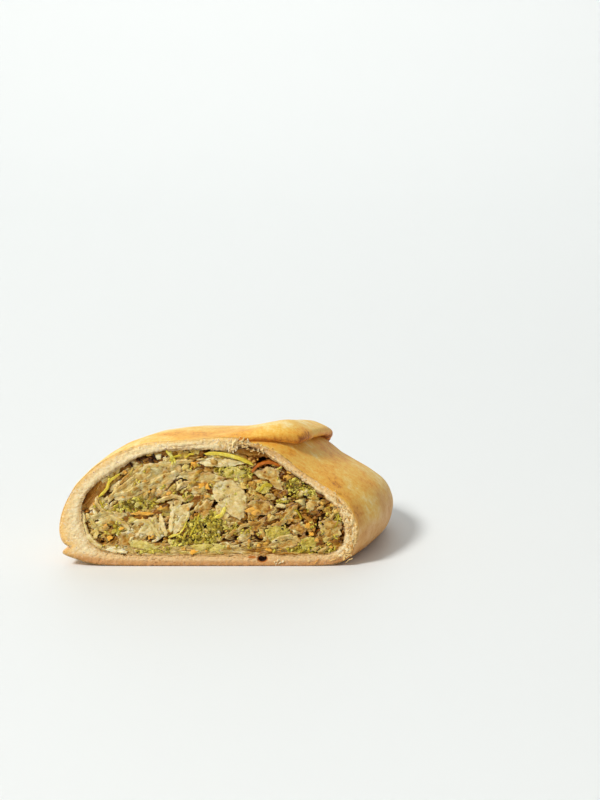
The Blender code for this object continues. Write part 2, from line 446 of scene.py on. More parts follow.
def shape_crust():
    """The crust's points and what its finish needs to know of each one."""
    rows, across = crust_grid()
    wall, run = fray_rim(rows, across)
    skin, rim, deep = rows[OUTER], rows[RIM], rows[INNER]
    share = across[RIM][:, None] * np.ones(rows.shape[1])
    marks = rim_marks(rim, share, wall, run)

    height = np.zeros(rows.shape[:2])
    swell = layered_noise(skin, (0.42, 16, 0), (0.2, 6.5, 5), (0.07, 2.4, 9))
    height[OUTER] = swell * MM * smooth_step(0.2 * MM, 5 * MM, skin[..., 2])
    height[RIM] = rim_height(rim, share, *marks)
    height[INNER] = layered_noise(deep, (0.3, 4, 3), (0.14, 1.4, 6)) * MM
    shaped = rows + row_normals(rows) * height[..., None]
    shaped[..., 2] = np.maximum(shaped[..., 2], 0.0)
    shaped[:, -1] = shaped[:, 0]

    values = {"across": across[:, None] * np.ones(rows.shape[1])}
    looks = ((OUTER, skin_looks(skin)), (RIM, rim_looks(shaped[RIM], share, *marks)), (INNER, {"inside": 1}))
    for part, found in looks:
        for name, value in found.items():
            values[name] = np.zeros(rows.shape[:2])
            values[name][part] = value
    return shaped, values


# ---------------------------------------------------------------- making pieces


def bend_grid(bm, rows, values):
    """Adds a grid bent to rows of points; values has pairs of a float layer and its grid."""
    height, width = rows.shape[:2]
    made = bmesh.ops.create_grid(bm, x_segments=width - 1, y_segments=height - 1, size=1)
    for vertex in made["verts"]:
        column = round((vertex.co.x + 1) / 2 * (width - 1))
        row = round((vertex.co.y + 1) / 2 * (height - 1))
        vertex.co = rows[row, column]
        for layer, value in values:
            vertex[layer] = value[row, column]


def closed_skin(rows, values):
    """A bent grid that is closed all round and at its poles, with a float attribute for each value."""
    bm = bmesh.new()
    bend_grid(bm, rows, [(bm.verts.layers.float.new(name), value) for name, value in values.items()])
    bmesh.ops.remove_doubles(bm, verts=bm.verts, dist=MERGE)
    openings = [edge for edge in bm.edges if edge.is_boundary]
    if openings:
        bmesh.ops.holes_fill(bm, edges=openings, sides=0)
    return bm


def add_object(name, data):
    """Puts a new object with this data in the scene."""
    made = bpy.data.objects.new(name, data)
    bpy.context.scene.collection.objects.link(made)
    return made


def add_mesh(name, bm, material):
    """Puts a new smooth object with this shape in the scene."""
    mesh = bpy.data.meshes.new(name)
    bm.to_mesh(mesh)
    bm.free()
    mesh.shade_smooth()
    mesh.materials.append(material)
    return add_object(name, mesh)


def finish_piece(name, bm, material):
    """Makes a piece that rides on the pasty."""
    bmesh.ops.recalc_face_normals(bm, faces=bm.faces)
    piece = add_mesh(name, bm, material)
    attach(piece, "root")
    return piece


# ---------------------------------------------------------------- the filling's shapes

# Places in the filling are X and Z of the section. They and all sizes in it are in millimetres.
CAVITY = curve(INSIDE, np.linspace(0, len(INSIDE), 400, endpoint=False)) / MM
chance = random.Random(11)
pick, drift = chance.uniform, chance.gauss


def inside_outline(outline, x, z):
    """Whether a point lies inside a closed outline."""
    ends = np.roll(outline, -1, axis=0)
    crosses = (outline[:, 1] > z) != (ends[:, 1] > z)
    rise = ends[:, 1] - outline[:, 1]
    step = (z - outline[:, 1]) * (ends[:, 0] - outline[:, 0])
    reach = outline[:, 0] + step / np.where(rise == 0, 1e-9, rise)
    return bool(np.count_nonzero(crosses & (x < reach)) % 2)


def room_at(x, z):
    """How far a point of the cut lies inside the cavity; below 0 outside it."""
    along, towards = np.roll(CAVITY, -1, axis=0) - CAVITY, np.array((x, z)) - CAVITY
    share = np.clip((along * towards).sum(1) / (along**2).sum(1), 0, 1)
    distance = np.linalg.norm(towards - along * share[:, None], axis=1).min()
    return distance if inside_outline(CAVITY, x, z) else -distance


def in_section(points):
    """Points given as X and Z of the section and depth behind the cut, in the frame's metres."""
    points = np.asarray(points, float)
    x = SECTION_X / MM + points[..., 0] + 0.4 * SLANT * points[..., 2]
    return np.stack((x, CUT_Y / MM + points[..., 2], points[..., 1]), axis=-1) * MM


def turned(points, angle):
    """Points turned round (0, 0)."""
    c, s = math.cos(angle), math.sin(angle)
    return points @ np.array(((c, s), (-s, c)))


def soft_outline(knots, count, roundness):
    """A closed outline of count points through the knots, between a polygon and a smooth curve."""
    knots = np.asarray(knots, float)
    places = np.linspace(0, len(knots), count, endpoint=False)
    start = np.floor(places).astype(int)
    share = (places - start)[:, None]
    straight = knots[start] * (1 - share) + knots[(start + 1) % len(knots)] * share
    return (1 - roundness) * straight + roundness * curve(knots, places)


def rough_knots(width, height, corners, jag):
    """Corners of an uneven piece round (0, 0)."""
    angles = [2 * math.pi * (k + pick(-0.28, 0.28)) / corners for k in range(corners)]
    reaches = [1 + pick(-jag, jag) for _ in angles]
    corner = [(math.cos(a) * r * width / 2, math.sin(a) * r * height / 2) for a, r in zip(angles, reaches)]
    return np.array(corner)


def tint_near(middle, spread):
    """A random tint from 0 to 1."""
    return min(max(drift(middle, spread), 0), 1)


def smooth_path(points, count):
    """Points evenly spread on a smooth open line through the given ones."""
    points = np.asarray(points, float)
    padded = np.concatenate((2 * points[:1] - points[1:2], points, 2 * points[-1:] - points[-2:-1]))
    return curve(padded, np.linspace(1, len(points) - 1e-6, count))


def bent_line(x, z, turn, length, bend):
    """Three points of a bent stroke round (x, z)."""
    way = np.array((math.cos(turn), math.sin(turn))) * length / 2
    side = np.array((-way[1], way[0])) * bend
    middle = np.array((x, z))
    return middle - way, middle + side, middle + way


def scatter(gap, tries, margin, zone=None):
    """Places in the cut, no two closer than gap: in the zone of this outline, or in the whole filling."""
    outline = CAVITY if zone is None else soft_outline(zone, 60, 0.55)
    low, high = outline.min(axis=0), outline.max(axis=0)
    kept, squares = [], {}
    for _ in range(tries):
        x, z = pick(low[0], high[0]), pick(low[1], high[1])
        column, row = int(x // gap), int(z // gap)
        near_by = [p for i in (-1, 0, 1) for j in (-1, 0, 1) for p in squares.get((column + i, row + j), ())]
        if all((x - a) ** 2 + (z - b) ** 2 > gap * gap for a, b in near_by):
            if inside_outline(outline, x, z) and room_at(x, z) > margin:
                kept.append((x, z))
                squares.setdefault((column, row), []).append((x, z))
    return kept


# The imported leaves' lie by region of the cut: slope, length and width of a leaf, and how far its upper edge
# stands out.
LIES = (
    (0.62, 5.0, 1.9, 0.26),  # upper left
    (0.45, 4.6, 2.3, 0.46),  # lower left
    (0.02, 5.4, 1.1, 0.24),  # along the base
    (-0.20, 2.7, 1.8, 0.4),  # upper right
    (0.30, 2.6, 1.9, 0.46),  # lower right
)


def on_cut(x, z):
    """Places of the cut as points for noise."""
    return np.dstack((x, z, 0 * x))


def region_at(x, z):
    """Which of the lies each point belongs to; the regions' borders are uneven."""
    place = on_cut(x, z)
    sway, rise = 3.0 * noise_at(place, 5.0, 31), 2.4 * noise_at(place, 4.0, 37)
    left, low = x + sway < -2, z + rise < np.where(x < 0, 19.5, 21.5)
    region = np.where(left, np.where(low, 1, 0), np.where(low, 4, 3))
    return np.where(z + 0.5 * rise < 6.8, 2, region)


def packed_leaves(x, z, scale, seed):
    """Small cut leaves on each other: each point's depth, its leaf's tint and hue, open edges and grain."""
    region = region_at(x, z)
    slopes, longs, wides, lifts = (np.array(part)[region] for part in zip(*LIES))
    along = x * np.cos(slopes) + z * np.sin(slopes)
    over = z * np.cos(slopes) - x * np.sin(slopes)
    place = on_cut(x, z)
    a = (along + 0.9 * noise_at(place, 2.2, seed + 3)) / (longs * scale)
    b = (over + 0.7 * noise_at(place, 1.8, seed + 5)) / (wides * scale)
    depth, tint, hue, edge = (np.empty(x.size) for _ in range(4))
    for k, (p, q, r) in enumerate(zip(a.ravel().tolist(), b.ravel().tolist(), region.ravel().tolist())):
        distances, spots = noise.voronoi((p, q, seed + r))
        first = spots[0]
        number = math.sin(first.x * 12.99 + first.y * 78.2 + seed) * 43.758 % 1
        lean = (0.6 + 0.8 * number) * (first.y - q) + 0.5 * (number * 7 % 1 - 0.5) * (p - first.x)
        depth[k] = lean + 0.8 * (number - 0.5)
        tint[k], hue[k] = number * 13 % 1, number * 29 % 1
        edge[k] = min((distances[1] - distances[0]) / 0.16, 1.0)
    depth, tint, hue, edge = (part.reshape(x.shape) for part in (depth, tint, hue, edge))
    return lifts * scale * depth * 1.6, tint, hue, 1 - edge, along, over


def fibres_at(along, over):
    """Fine ridges along the leaves."""
    return noise_at(on_cut(along / 2.4, over / 0.34), 1.0, 15)


def darker_right(x):
    """How much lower the tint is: the filling is browner towards the right."""
    return 0.06 + 0.23 * smooth_step(8 * MM, 20 * MM, x)


class Heap:
    """Many cut pieces of one kind in one mesh. Each has its own tint from 0 to 1 and its own grain."""

    LAYERS = ("tint", "hue", "edge", "grain_along", "grain_across")

    def __init__(self, name, slot, seed):
        self.name, self.slot = name, slot
        self.bm = bmesh.new()
        self.layers = [self.bm.verts.layers.float.new(layer) for layer in self.LAYERS]
        chance.seed(seed)

    def bend(self, rows, tint, edges, grain, hue=None):
        """Adds a closed piece: rows of points round it, from one pole to the other."""
        tint = np.clip(tint - darker_right(x_of(rows)), 0, 1)
        hue = chance.random() if hue is None else hue
        looks = (tint, 0 * tint + hue, 0 * tint + np.reshape(edges, (-1, 1)), grain[..., 0], grain[..., 1])
        bend_grid(self.bm, closed(rows), list(zip(self.layers, map(closed, looks))))

    def ball(self, x, z, depth, size, turn, tint, fineness, lump):
        """Adds a lumpy ball with these half sizes."""
        made = bmesh.ops.create_icosphere(self.bm, subdivisions=fineness, radius=1)
        spin = Matrix.Rotation(turn, 3, "Y") @ Matrix.Rotation(pick(-0.4, 0.4), 3, "X")
        middle = Vector(in_section((x, z, depth)))
        seed = Vector((chance.random() * 50, chance.random() * 50, 0))
        grain, hue = chance.random() * 0.2, chance.random()
        for vertex in made["verts"]:
            reach = 1 + 2 * lump * noise.noise(vertex.co * 1.3 + seed)
            shaped = Vector([a * b * reach * MM for a, b in zip(vertex.co, size)])
            looks = (tint, hue, 1 - abs(vertex.co.y), grain + shaped.x, shaped.z)
            vertex.co = middle + spin @ shaped
            for layer, look in zip(self.layers, looks):
                vertex[layer] = look

    def finish(self, material):
        """Makes the heap a piece."""
        bmesh.ops.remove_doubles(self.bm, verts=self.bm.verts, dist=MERGE)
        finish_piece(self.name, self.bm, material)


# A slice's back, as rings: how deep each one lies and how wide it is. A ribbon's section: across and deep.
SLICE_BACK = ((0.35, 1.0), (0.8, 0.92), (1.0, 0.002))
RIBBON_SECTION = np.array(
    ((-0.5, 0.1), (-0.38, 0.0), (-0.1, 0.0), (0.15, 0.02), (0.38, 0.0), (0.5, 0.1), (0.45, 0.9), (-0.45, 0.9))
)


def slice_piece(
    heap, knots, set_back, thickness, tint, count=36, rings=9, tilt=(0, 0), ragged=0.45, hue=None
):
    """A piece that the knife cut: its face has this outline, in small leaves and fibres, behind the cut."""
    seed = chance.random() * 90
    knots = np.asarray(knots, float)
    middle = knots.mean(axis=0)
    outline = soft_outline(knots - middle, count, 0.3)
    out = outline / np.linalg.norm(outline, axis=1)[:, None]
    broad = [noise.noise((px * 0.8 + seed, pz * 0.8, 0.0)) for px, pz in outline]
    fine = [noise.noise((px * 2.6, pz * 2.6, seed)) for px, pz in outline]
    fray = ragged * 1.6 * (np.array(broad) + 0.7 * np.array(fine))
    outline = outline + out * fray[:, None]

    shares = 1 - np.linspace(1, 0, rings) ** 1.5
    shares[0] = 0.002
    face = outline * shares[:, None, None]
    x, z = face[..., 0] + middle[0], face[..., 1] + middle[1]
    place = on_cut(x, z)
    small, small_tint, _, small_edge, along, over = packed_leaves(x, z, 0.5, 7.0 + seed)
    creases = np.abs(noise_at(place, 2.9, seed)) + 0.4 * np.abs(noise_at(place, 1.4, seed + 5))
    lumps = 0.08 * noise_at(place, 0.9, seed) + 0.04 * fibres_at(along, over) - 0.8 * (creases - 0.3)
    depth = set_back + face @ np.array(tilt) + (0.13 * small + lumps + 0.03 * small_edge)
    depth += 0.16 * smooth_step(0.86, 1, shares)[:, None]

    rows, back_depth = [np.dstack((x, z, depth))], depth[-1].mean()
    for share, swell in SLICE_BACK:
        back = (outline * swell + middle)[None]
        rows.append(np.dstack((back, np.full((1, count), back_depth + thickness * share))))
    grain = np.dstack((along, over))
    grain = np.concatenate((grain,) + (grain[-1:],) * len(SLICE_BACK)) * MM
    tints = tint + np.concatenate((0.22 * (small_tint - 0.5), np.zeros((len(SLICE_BACK), count))))
    heap.bend(in_section(np.concatenate(rows)), tints, list(shares) + [1.0] * len(SLICE_BACK), grain, hue)


def shred(heap, points, width, depth, set_back, tint, wave, steps, tilt=0.0, ragged=0.3, hue=None):
    """A leaf that runs into the pasty: the knife shows its edge as a stroke along the points."""
    seed = chance.random() * 90
    path = smooth_path(points, steps)
    along = np.gradient(path, axis=0)
    along /= np.linalg.norm(along, axis=1)[:, None]
    length = np.linalg.norm(np.diff(path, axis=0), axis=1).sum()
    rows, grain, tints = [], [], []
    for t, point, way in zip(np.linspace(0, 1, steps), path, along):
        across = np.array((-way[1], way[0]))
        run = t * length
        point = point + across * wave * noise.noise((t * 2.2 + seed, 0.0, 0.0))
        taper = max(0.3, 1 - abs(2 * t - 1) ** 8) * width
        sides = np.sign(RIBBON_SECTION[:, 0])
        fray = [1 + 2 * ragged * noise.noise((run / 0.9 + seed, 7.0 + side, 0.0)) for side in sides]
        sideways = RIBBON_SECTION[:, 0] * taper * np.array(fray)
        relief = [0.3 * noise.noise((run / 1.1 + seed, place / 0.5, 0.0)) for place in sideways]
        sag = 0.6 * wave * noise.noise((t * 2 + seed, 3.0, 0.0))
        front = set_back + sag - tilt * sideways + np.array(relief)
        places = point + np.outer(sideways, across)
        rows.append(np.column_stack((places, front + depth * RIBBON_SECTION[:, 1])))
        grain.append(np.column_stack((np.full(len(sideways), run), sideways)) * MM + seed * 0.01)
        tints.append(tint + 0.8 * np.array(relief))
    rows, grain, tints = np.array(rows), np.array(grain), np.array(tints)
    ends = rows[[0, -1]].mean(axis=1, keepdims=True) * np.ones((1, len(RIBBON_SECTION), 1))
    rows = np.concatenate((ends[:1], rows, ends[1:]))
    grain, tints = (np.concatenate((part[:1], part, part[-1:])) for part in (grain, tints))
    heap.bend(in_section(rows), tints, [1.0] + [0.5] * steps + [1.0], grain, hue)


# ---------------------------------------------------------------- finishes

FLESH = (1.0, 0.7, 0.35)  # how far red, green and blue light spread in soft food
STREAK = 0.5 * MM  # how wide the streaks of a cooked leaf are


def srgb(red, green, blue):
    """A colour for the shaders from display values of 0 to 255."""
    parts = [v / 255 for v in (red, green, blue)]
    return (*(p / 12.92 if p <= 0.04045 else ((p + 0.055) / 1.055) ** 2.4 for p in parts), 1.0)


class Finish:
    """A node material, with short words for the nodes that food needs."""

    def __init__(self, name):
        self.material = bpy.data.materials.new(name)
        self.material.use_nodes = True
        self.tree = self.material.node_tree
        self.shader = self.tree.nodes["Principled BSDF"]
        self.place = self.node("TexCoord", "Object")

    def link(self, source, socket):
        """Feeds a socket with another node's output or with a plain value."""
        if hasattr(source, "links"):
            self.tree.links.new(source, socket)
        else:
            socket.default_value = source

    def node(self, kind, output, inputs=(), **settings):
        """Adds a shader node, feeds its inputs and gives one of its outputs."""
        made = self.tree.nodes.new("ShaderNode" + kind)
        for key, value in settings.items():
            setattr(made, key, value)
        for key, value in dict(inputs).items():
            self.link(value, made.inputs[key])
        return made.outputs[output]

    def attribute(self, name):
        return self.node("Attribute", "Fac", attribute_name=name)

    def math(self, operation, first, second):
        return self.node("Math", 0, {0: first, 1: second}, operation=operation)

    def times(self, first, second):
        return self.math("MULTIPLY", first, second)

    def plus(self, first, second):
        return self.math("ADD", first, second)

    def waver(self, value, wave, amount):
        """A value that a wave from 0 to 1 moves up and down."""
        return self.plus(value, self.times(self.math("SUBTRACT", wave, 0.5), amount))

    def noise(self, grain, detail=3.0, rough=0.55, warp=0.0):
        inputs = {"Scale": 1 / grain, "Detail": detail, "Roughness": rough, "Distortion": warp}
        return self.node("TexNoise", "Fac", {"Vector": self.place, **inputs})

    def streaks(self):
        """Fine streaks along each piece's own grain."""
        along = self.times(self.attribute("grain_along"), 0.16)
        vector = self.node("CombineXYZ", 0, {0: along, 1: self.attribute("grain_across")})
        return self.node("TexNoise", "Fac", {"Vector": vector, "Scale": 1 / STREAK, "Detail": 3})

    def cells(self, grain):
        return self.node("TexVoronoi", "Distance", {"Vector": self.place, "Scale": 1 / grain})

    def between(self, value, low, high, to_low=0.0, to_high=1.0):
        """A value brought smoothly from the range of low to high into another one."""
        inputs = dict(enumerate((value, low, high, to_low, to_high)))
        return self.node("MapRange", "Result", inputs, interpolation_type="SMOOTHSTEP")

    def ramp(self, value, *stops):
        """A colour ramp: each stop is its position, and its red, green and blue as display values."""
        made = self.tree.nodes.new("ShaderNodeValToRGB")
        self.link(value, made.inputs["Fac"])
        elements = made.color_ramp.elements
        while len(elements) < len(stops):
            elements.new(0.5)
        for element, (position, *colour) in zip(elements, stops):
            element.position = position
            element.color = srgb(*colour)
        return made.outputs["Color"]

    def mix(self, share, first, second, blend="MIX"):
        inputs = {"Factor": share, 6: first, 7: second}
        return self.node("Mix", 2, inputs, data_type="RGBA", blend_type=blend)

    def bump(self, height, distance, strength):
        normal = self.node("Bump", "Normal", {"Height": height, "Distance": distance, "Strength": strength})
        self.link(normal, self.shader.inputs["Normal"])

    def surface(self, colour, roughness):
        self.link(colour, self.shader.inputs["Base Color"])
        self.link(roughness, self.shader.inputs["Roughness"])
        return self.material

    def soft_surface(self, colour, roughness, weight, depth, specular):
        """A surface that light goes a little way into."""
        for name, value in (("Weight", weight), ("Scale", depth), ("Radius", FLESH)):
            self.shader.inputs["Subsurface " + name].default_value = value
        self.shader.inputs["Specular IOR Level"].default_value = specular
        return self.surface(colour, roughness)


# The pastry's colours as ramp stops: by browning on the skin, and by the way across the wall on the rim.
SKIN = (
    (0.0, 252, 238, 200),
    (0.25, 250, 223, 154),
    (0.46, 243, 196, 88),
    (0.64, 238, 168, 58),
    (0.82, 188, 112, 36),
    (1.0, 112, 60, 22),
)
TAN_SKIN = ((0.1, 232, 182, 122), (0.5, 210, 148, 86), (0.9, 160, 98, 50))
RIM_CRUMB = (
    (0.0, 236, 176, 84),
    (0.12, 244, 208, 134),
    (0.3, 245, 221, 165),
    (0.75, 238, 218, 170),
    (1.0, 214, 176, 110),
)
BASE_CRUMB = (
    (0.0, 140, 84, 40),
    (0.08, 194, 138, 82),
    (0.4, 206, 156, 100),
    (0.62, 232, 196, 140),
    (1.0, 208, 166, 104),
)
# The hollow under the seam: partly the crumb's own brown, partly painted shade.
HOLLOW_CRUMB = ((0.35, 88, 44, 14), (0.65, 186, 114, 44))


def pastry_skin(f, fine):
    """The outside's colour: browned in patches, with painted highlight and painted shade, tan towards the
    base, with a few freckles.
    """
    shade = f.waver(f.attribute("browning_and_painted_light"), fine, 0.4)
    shade = f.waver(shade, f.noise(0.8 * MM, 3, 0.7), 0.3)
    shade = f.waver(shade, f.noise(9 * MM, 3, warp=0.4), 0.65)
    skin = f.mix(f.times(f.attribute("tan"), 0.8), f.ramp(shade, *SKIN), f.ramp(shade, *TAN_SKIN))
    freckles = f.between(f.cells(2.2 * MM), 0.14, 0.04)
    return f.mix(f.times(freckles, 0.4), skin, srgb(176, 104, 46))


def pastry_rim(f, fine):
    """The cut rim's colour: pale crumb, browner at the base and where burnt, with painted shade in pores and
    between layers and partly in the hollow.
    """
    crumb = f.ramp(f.attribute("across"), *RIM_CRUMB)
    crumb = f.mix(f.times(f.attribute("golden"), 0.6), crumb, srgb(230, 178, 102))
    crumb = f.mix(f.attribute("under"), crumb, f.ramp(f.attribute("across"), *BASE_CRUMB))
    tone = f.between(f.noise(0.7 * MM, 4, 0.75), 0.34, 0.54, 0.5, 0.0)
    crumb = f.mix(tone, crumb, srgb(210, 154, 80))
    flecks = f.between(f.noise(0.9 * MM, 3, 0.7), 0.54, 0.68, 0.0, 0.7)
    flecks = f.times(flecks, f.between(f.attribute("under"), 0, 1, 1.0, 0.25))
    crumb = f.mix(flecks, crumb, srgb(254, 242, 212))
    # Painted shade in the pores and between the layers.
    crumb = f.mix(f.times(f.attribute("pore"), 0.7), crumb, srgb(172, 120, 58))
    spots = f.between(f.noise(0.9 * MM, 2, 0.5), 0.68, 0.74, 0.0, 0.7)
    crumb = f.mix(spots, crumb, srgb(150, 92, 40))
    # The hollow under the seam: partly brown crumb, partly painted shade.
    crumb = f.mix(f.attribute("hollow"), crumb, f.ramp(fine, *HOLLOW_CRUMB))
    crumb = f.mix(f.between(f.attribute("burn"), 0.02, 0.35), crumb, srgb(186, 112, 44))
    return f.mix(f.between(f.attribute("burn"), 0.4, 0.85), crumb, srgb(48, 22, 10))


def baked_pastry():
    f = Finish("baked_pastry")
    fine, on_rim = f.noise(1.6 * MM, 4), f.attribute("rim_face")
    wall = f.mix(f.between(f.noise(3 * MM, 3), 0.35, 0.7), srgb(194, 144, 78), srgb(228, 186, 120))
    colour = f.mix(on_rim, pastry_skin(f, fine), pastry_rim(f, fine))
    colour = f.mix(f.attribute("inside"), colour, wall)
    grain = f.plus(f.times(fine, 0.6), f.noise(0.6 * MM, 3))
    coarse = f.times(f.noise(0.8 * MM, 4, 0.7), on_rim)
    f.bump(f.plus(grain, f.times(coarse, 2.5)), 0.22 * MM, 0.6)
    return f.soft_surface(colour, f.between(on_rim, 0, 1, 0.55, 0.8), 0.12, 1.2 * MM, 0.3)


# Colours by tint as ramp stops, and stains: the range of hues from clean to stained, and the colour.
CABBAGE = (
    (0.0, 128, 74, 8),
    (0.22, 182, 130, 42),
    (0.5, 211, 182, 110),
    (0.75, 236, 213, 156),
    (1.0, 250, 241, 208),
)
CABBAGE_STAINS = (
    (0.34, 0.24, 238, 236, 156),
    (0.93, 0.97, 254, 206, 130),
    (0.66, 0.76, 238, 234, 212),
)
BROCCOLI_FLESH = (
    (0.0, 98, 74, 8),
    (0.3, 164, 140, 38),
    (0.6, 202, 180, 80),
    (1.0, 230, 212, 136),
)
BROCCOLI_STAINS = ((0.45, 0.55, 228, 224, 192),)
BROCCOLI_SPECKS = (88, 74, 30)
BROCCOLI_BUD = (
    (0.0, 74, 54, 4),
    (0.15, 128, 104, 16),
    (0.4, 172, 147, 38),
    (0.7, 204, 181, 64),
    (1.0, 232, 212, 104),
)
PASTRY_CRUMB = ((0.0, 214, 158, 82), (0.4, 240, 206, 138), (1.0, 252, 236, 196))
CARROT = ((0.0, 212, 158, 74), (0.5, 232, 174, 72), (1.0, 246, 174, 52))
LENTIL = ((0.0, 164, 108, 24), (0.5, 208, 160, 66), (1.0, 232, 198, 112))
GREEN_LEAF = ((0.0, 140, 118, 12), (0.5, 200, 176, 44), (0.85, 226, 204, 80), (1.0, 238, 222, 122))
BROWNED_SKIN = ((0.0, 200, 118, 22), (0.4, 180, 98, 14), (0.8, 148, 76, 8), (1.0, 108, 50, 4))
DARK_CRUMB = ((0.0, 36, 20, 8), (0.6, 82, 48, 18), (1.0, 146, 94, 40))
BAKED_BROWN = ((0.3, 160, 94, 18), (0.5, 208, 150, 62), (0.7, 236, 194, 114))


def moist_colour(f, stops, streaks=0.2, stains=()):
    """A cooked piece's colour: its tint picks it, streaks follow its grain, and some pieces are stained."""
    shade = f.waver(f.attribute("tint"), f.streaks(), 2 * streaks)
    shade = f.waver(shade, f.noise(2.4 * MM, 4, 0.6), 1.1)
    colour = f.ramp(shade, *stops)
    for low, high, *stain in stains:
        colour = f.mix(f.between(f.attribute("hue"), low, high, 0.0, 0.7), colour, srgb(*stain), "MULTIPLY")
    return colour


def moist_bump(f, strength):
    f.bump(f.plus(f.streaks(), f.noise(0.7 * MM)), 0.2 * MM, strength)


def moist_food(name, stops, roughness=0.38, streaks=0.2, specks=None, stains=(), subsurface=0.4):
    """A cooked piece's material: near its rim it nears the last of its colours, a painted highlight, and at
    the rim the first, partly brownish cut edges and partly painted shade.
    """
    f = Finish(name)
    colour = moist_colour(f, stops, streaks, stains)
    if specks:
        colour = f.mix(f.between(f.cells(0.7 * MM), 0.28, 0.1, 0.0, 0.8), colour, srgb(*specks))
    # Painted highlight: the face is lighter just inside its rim.
    colour = f.mix(f.between(f.attribute("edge"), 0.72, 0.9, 0.0, 0.14), colour, srgb(*stops[-1][1:]))
    # Darker at the rim and on the sides: partly brownish cut edges, partly painted shade.
    colour = f.mix(f.between(f.attribute("edge"), 0.95, 1.0, 0.0, 0.3), colour, srgb(*stops[0][1:]))
    moist_bump(f, 0.4)
    return f.soft_surface(colour, roughness, subsurface, 1.5 * MM, 0.25)


def pastry_crumb():
    return moist_food("pastry_crumb", PASTRY_CRUMB, roughness=0.7, streaks=0.1, subsurface=0.2)


def cooked_cabbage(name):
    return moist_food(name, CABBAGE, stains=CABBAGE_STAINS)


def broccoli_bud():
    return moist_food("broccoli_bud", BROCCOLI_BUD, roughness=0.55)


def broccoli_stem():
    return moist_food("broccoli_stem", BROCCOLI_FLESH, specks=BROCCOLI_SPECKS, stains=BROCCOLI_STAINS)


def cooked_carrot():
    return moist_food("cooked_carrot", CARROT, subsurface=0.2)


def cooked_lentil():
    return moist_food("cooked_lentil", LENTIL, streaks=0.1)


def green_leaf():
    return moist_food("green_leaf", GREEN_LEAF)


def browned_skin():
    return moist_food("browned_skin", BROWNED_SKIN, roughness=0.6, subsurface=0.05)


def dark_crumb():
    return moist_food("dark_crumb", DARK_CRUMB, roughness=0.75, subsurface=0.0)


def packed_filling():
    """The core: cabbage and broccoli, baked brown along the pastry, and painted dark as shade in the gaps,
    holes, furrows and pits.
    """
    f = Finish("packed_filling")
    pale = moist_colour(f, CABBAGE, stains=CABBAGE_STAINS)
    colour = f.mix(f.attribute("green"), pale, moist_colour(f, BROCCOLI_FLESH))
    baked = f.ramp(f.noise(1.4 * MM, 4, 0.65), *BAKED_BROWN)
    colour = f.mix(f.times(f.attribute("brown"), 0.85), colour, baked)
    # Painted shade: darker where gap is high, in the gaps, holes, furrows and pits.
    colour = f.mix(f.between(f.attribute("gap"), 0.12, 0.55, 0.0, 0.7), colour, srgb(144, 84, 14))
    colour = f.mix(f.between(f.attribute("gap"), 0.5, 1.1, 0.0, 0.95), colour, srgb(52, 22, 2))
    moist_bump(f, 0.5)
    return f.soft_surface(colour, 0.42, 0.3, 0.8 * MM, 0.25)


# ---------------------------------------------------------------- the set


def make_camera():
    """A long lens in front of the cut and a little above it."""
    camera = add_object("camera", bpy.data.cameras.new("camera"))
    camera.data.lens = LENS
    camera.data.sensor_width = SENSOR
    camera.data.clip_start = 0.01
    camera.location = (SECTION_X + CAMERA_RIGHT, CUT_Y - CAMERA_BACK, CAMERA_HEIGHT)
    camera.rotation_euler = (math.radians(90 - LOOK_DOWN), 0, 0)
    bpy.context.scene.camera = camera


def make_lights():
    """A soft key light from the upper left, one for the backdrop and an even room."""
    for name, (place, target, size, power, colour) in LIGHTS.items():
        data = bpy.data.lights.new(name, "AREA")
        data.shape = "DISK"
        data.size = size
        data.energy = power
        data.color = colour
        lamp = add_object(name, data)
        lamp.location = place
        lamp.rotation_euler = (Vector(target) - Vector(place)).to_track_quat("-Z", "Y").to_euler()
    world = bpy.data.worlds.new("soft_room")
    bpy.context.scene.world = world
    world.use_nodes = True
    world.node_tree.nodes["Background"].inputs["Color"].default_value = (1, 1, 1, 1)
    world.node_tree.nodes["Background"].inputs["Strength"].default_value = ROOM_LIGHT
    bpy.context.scene.view_settings.view_transform = "Standard"


def make_floor():
    """A pale floor that curves up into a pale backdrop."""
    bm = bmesh.new()
    bmesh.ops.create_grid(bm, x_segments=1, y_segments=SWEEP_STEPS, size=1)
    for vertex in bm.verts:
        run = (vertex.co.y + 1) / 2 * SWEEP_RUN
        turn = min(max((run - SWEEP_FLAT) / SWEEP_BEND, 0), math.pi / 2)
        rise = max(run - SWEEP_FLAT - SWEEP_BEND * math.pi / 2, 0)
        forward = min(run, SWEEP_FLAT) + SWEEP_BEND * math.sin(turn) - SWEEP_FRONT
        vertex.co = (vertex.co.x * SWEEP_HALF_WIDTH, forward, SWEEP_BEND * (1 - math.cos(turn)) + rise)
    floor = add_mesh("floor", bm, Finish("pale_floor").surface(srgb(230, 233, 232), 0.6))


def make_crust():
    crust = finish_piece("pastry_crust", closed_skin(*shape_crust()), baked_pastry())
    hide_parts("crust")


# ---------------------------------------------------------------- the filling

# Where broccoli shows in the cut, as ovals like the rim's marks, but in millimetres.
BROCCOLI = (
    (-24.0, 20.3, 7.0, 2.3, 0.12),
    (8.2, 31.4, 6.8, 2.2, -0.12),
    (-1.0, 12.4, 7.4, 5.0, 0.3),
    (-8.2, 8.0, 4.8, 1.6, 0.2),
    (29.2, 25.8, 5.6, 3.0, -0.35),
    (22.6, 11.2, 3.6, 2.0, 0.1),
    (34.0, 5.2, 9.0, 1.3, 0.0),
    (-18.0, 5.1, 6.0, 1.0, 0.0),
    (8.9, 12.0, 2.4, 1.8, 0.0),
    (42.2, 16.4, 1.3, 2.4, 0.2),
    (-16.2, 21.8, 2.0, 1.0, 0.1),
    (-6.4, 23.1, 2.0, 1.0, 0.0),
    (-14.8, 26.5, 1.5, 1.0, 0.5),
    (24.0, 21.4, 2.2, 1.5, 0.2),
    (-29.5, 11.8, 1.6, 1.6, 0.5),
)
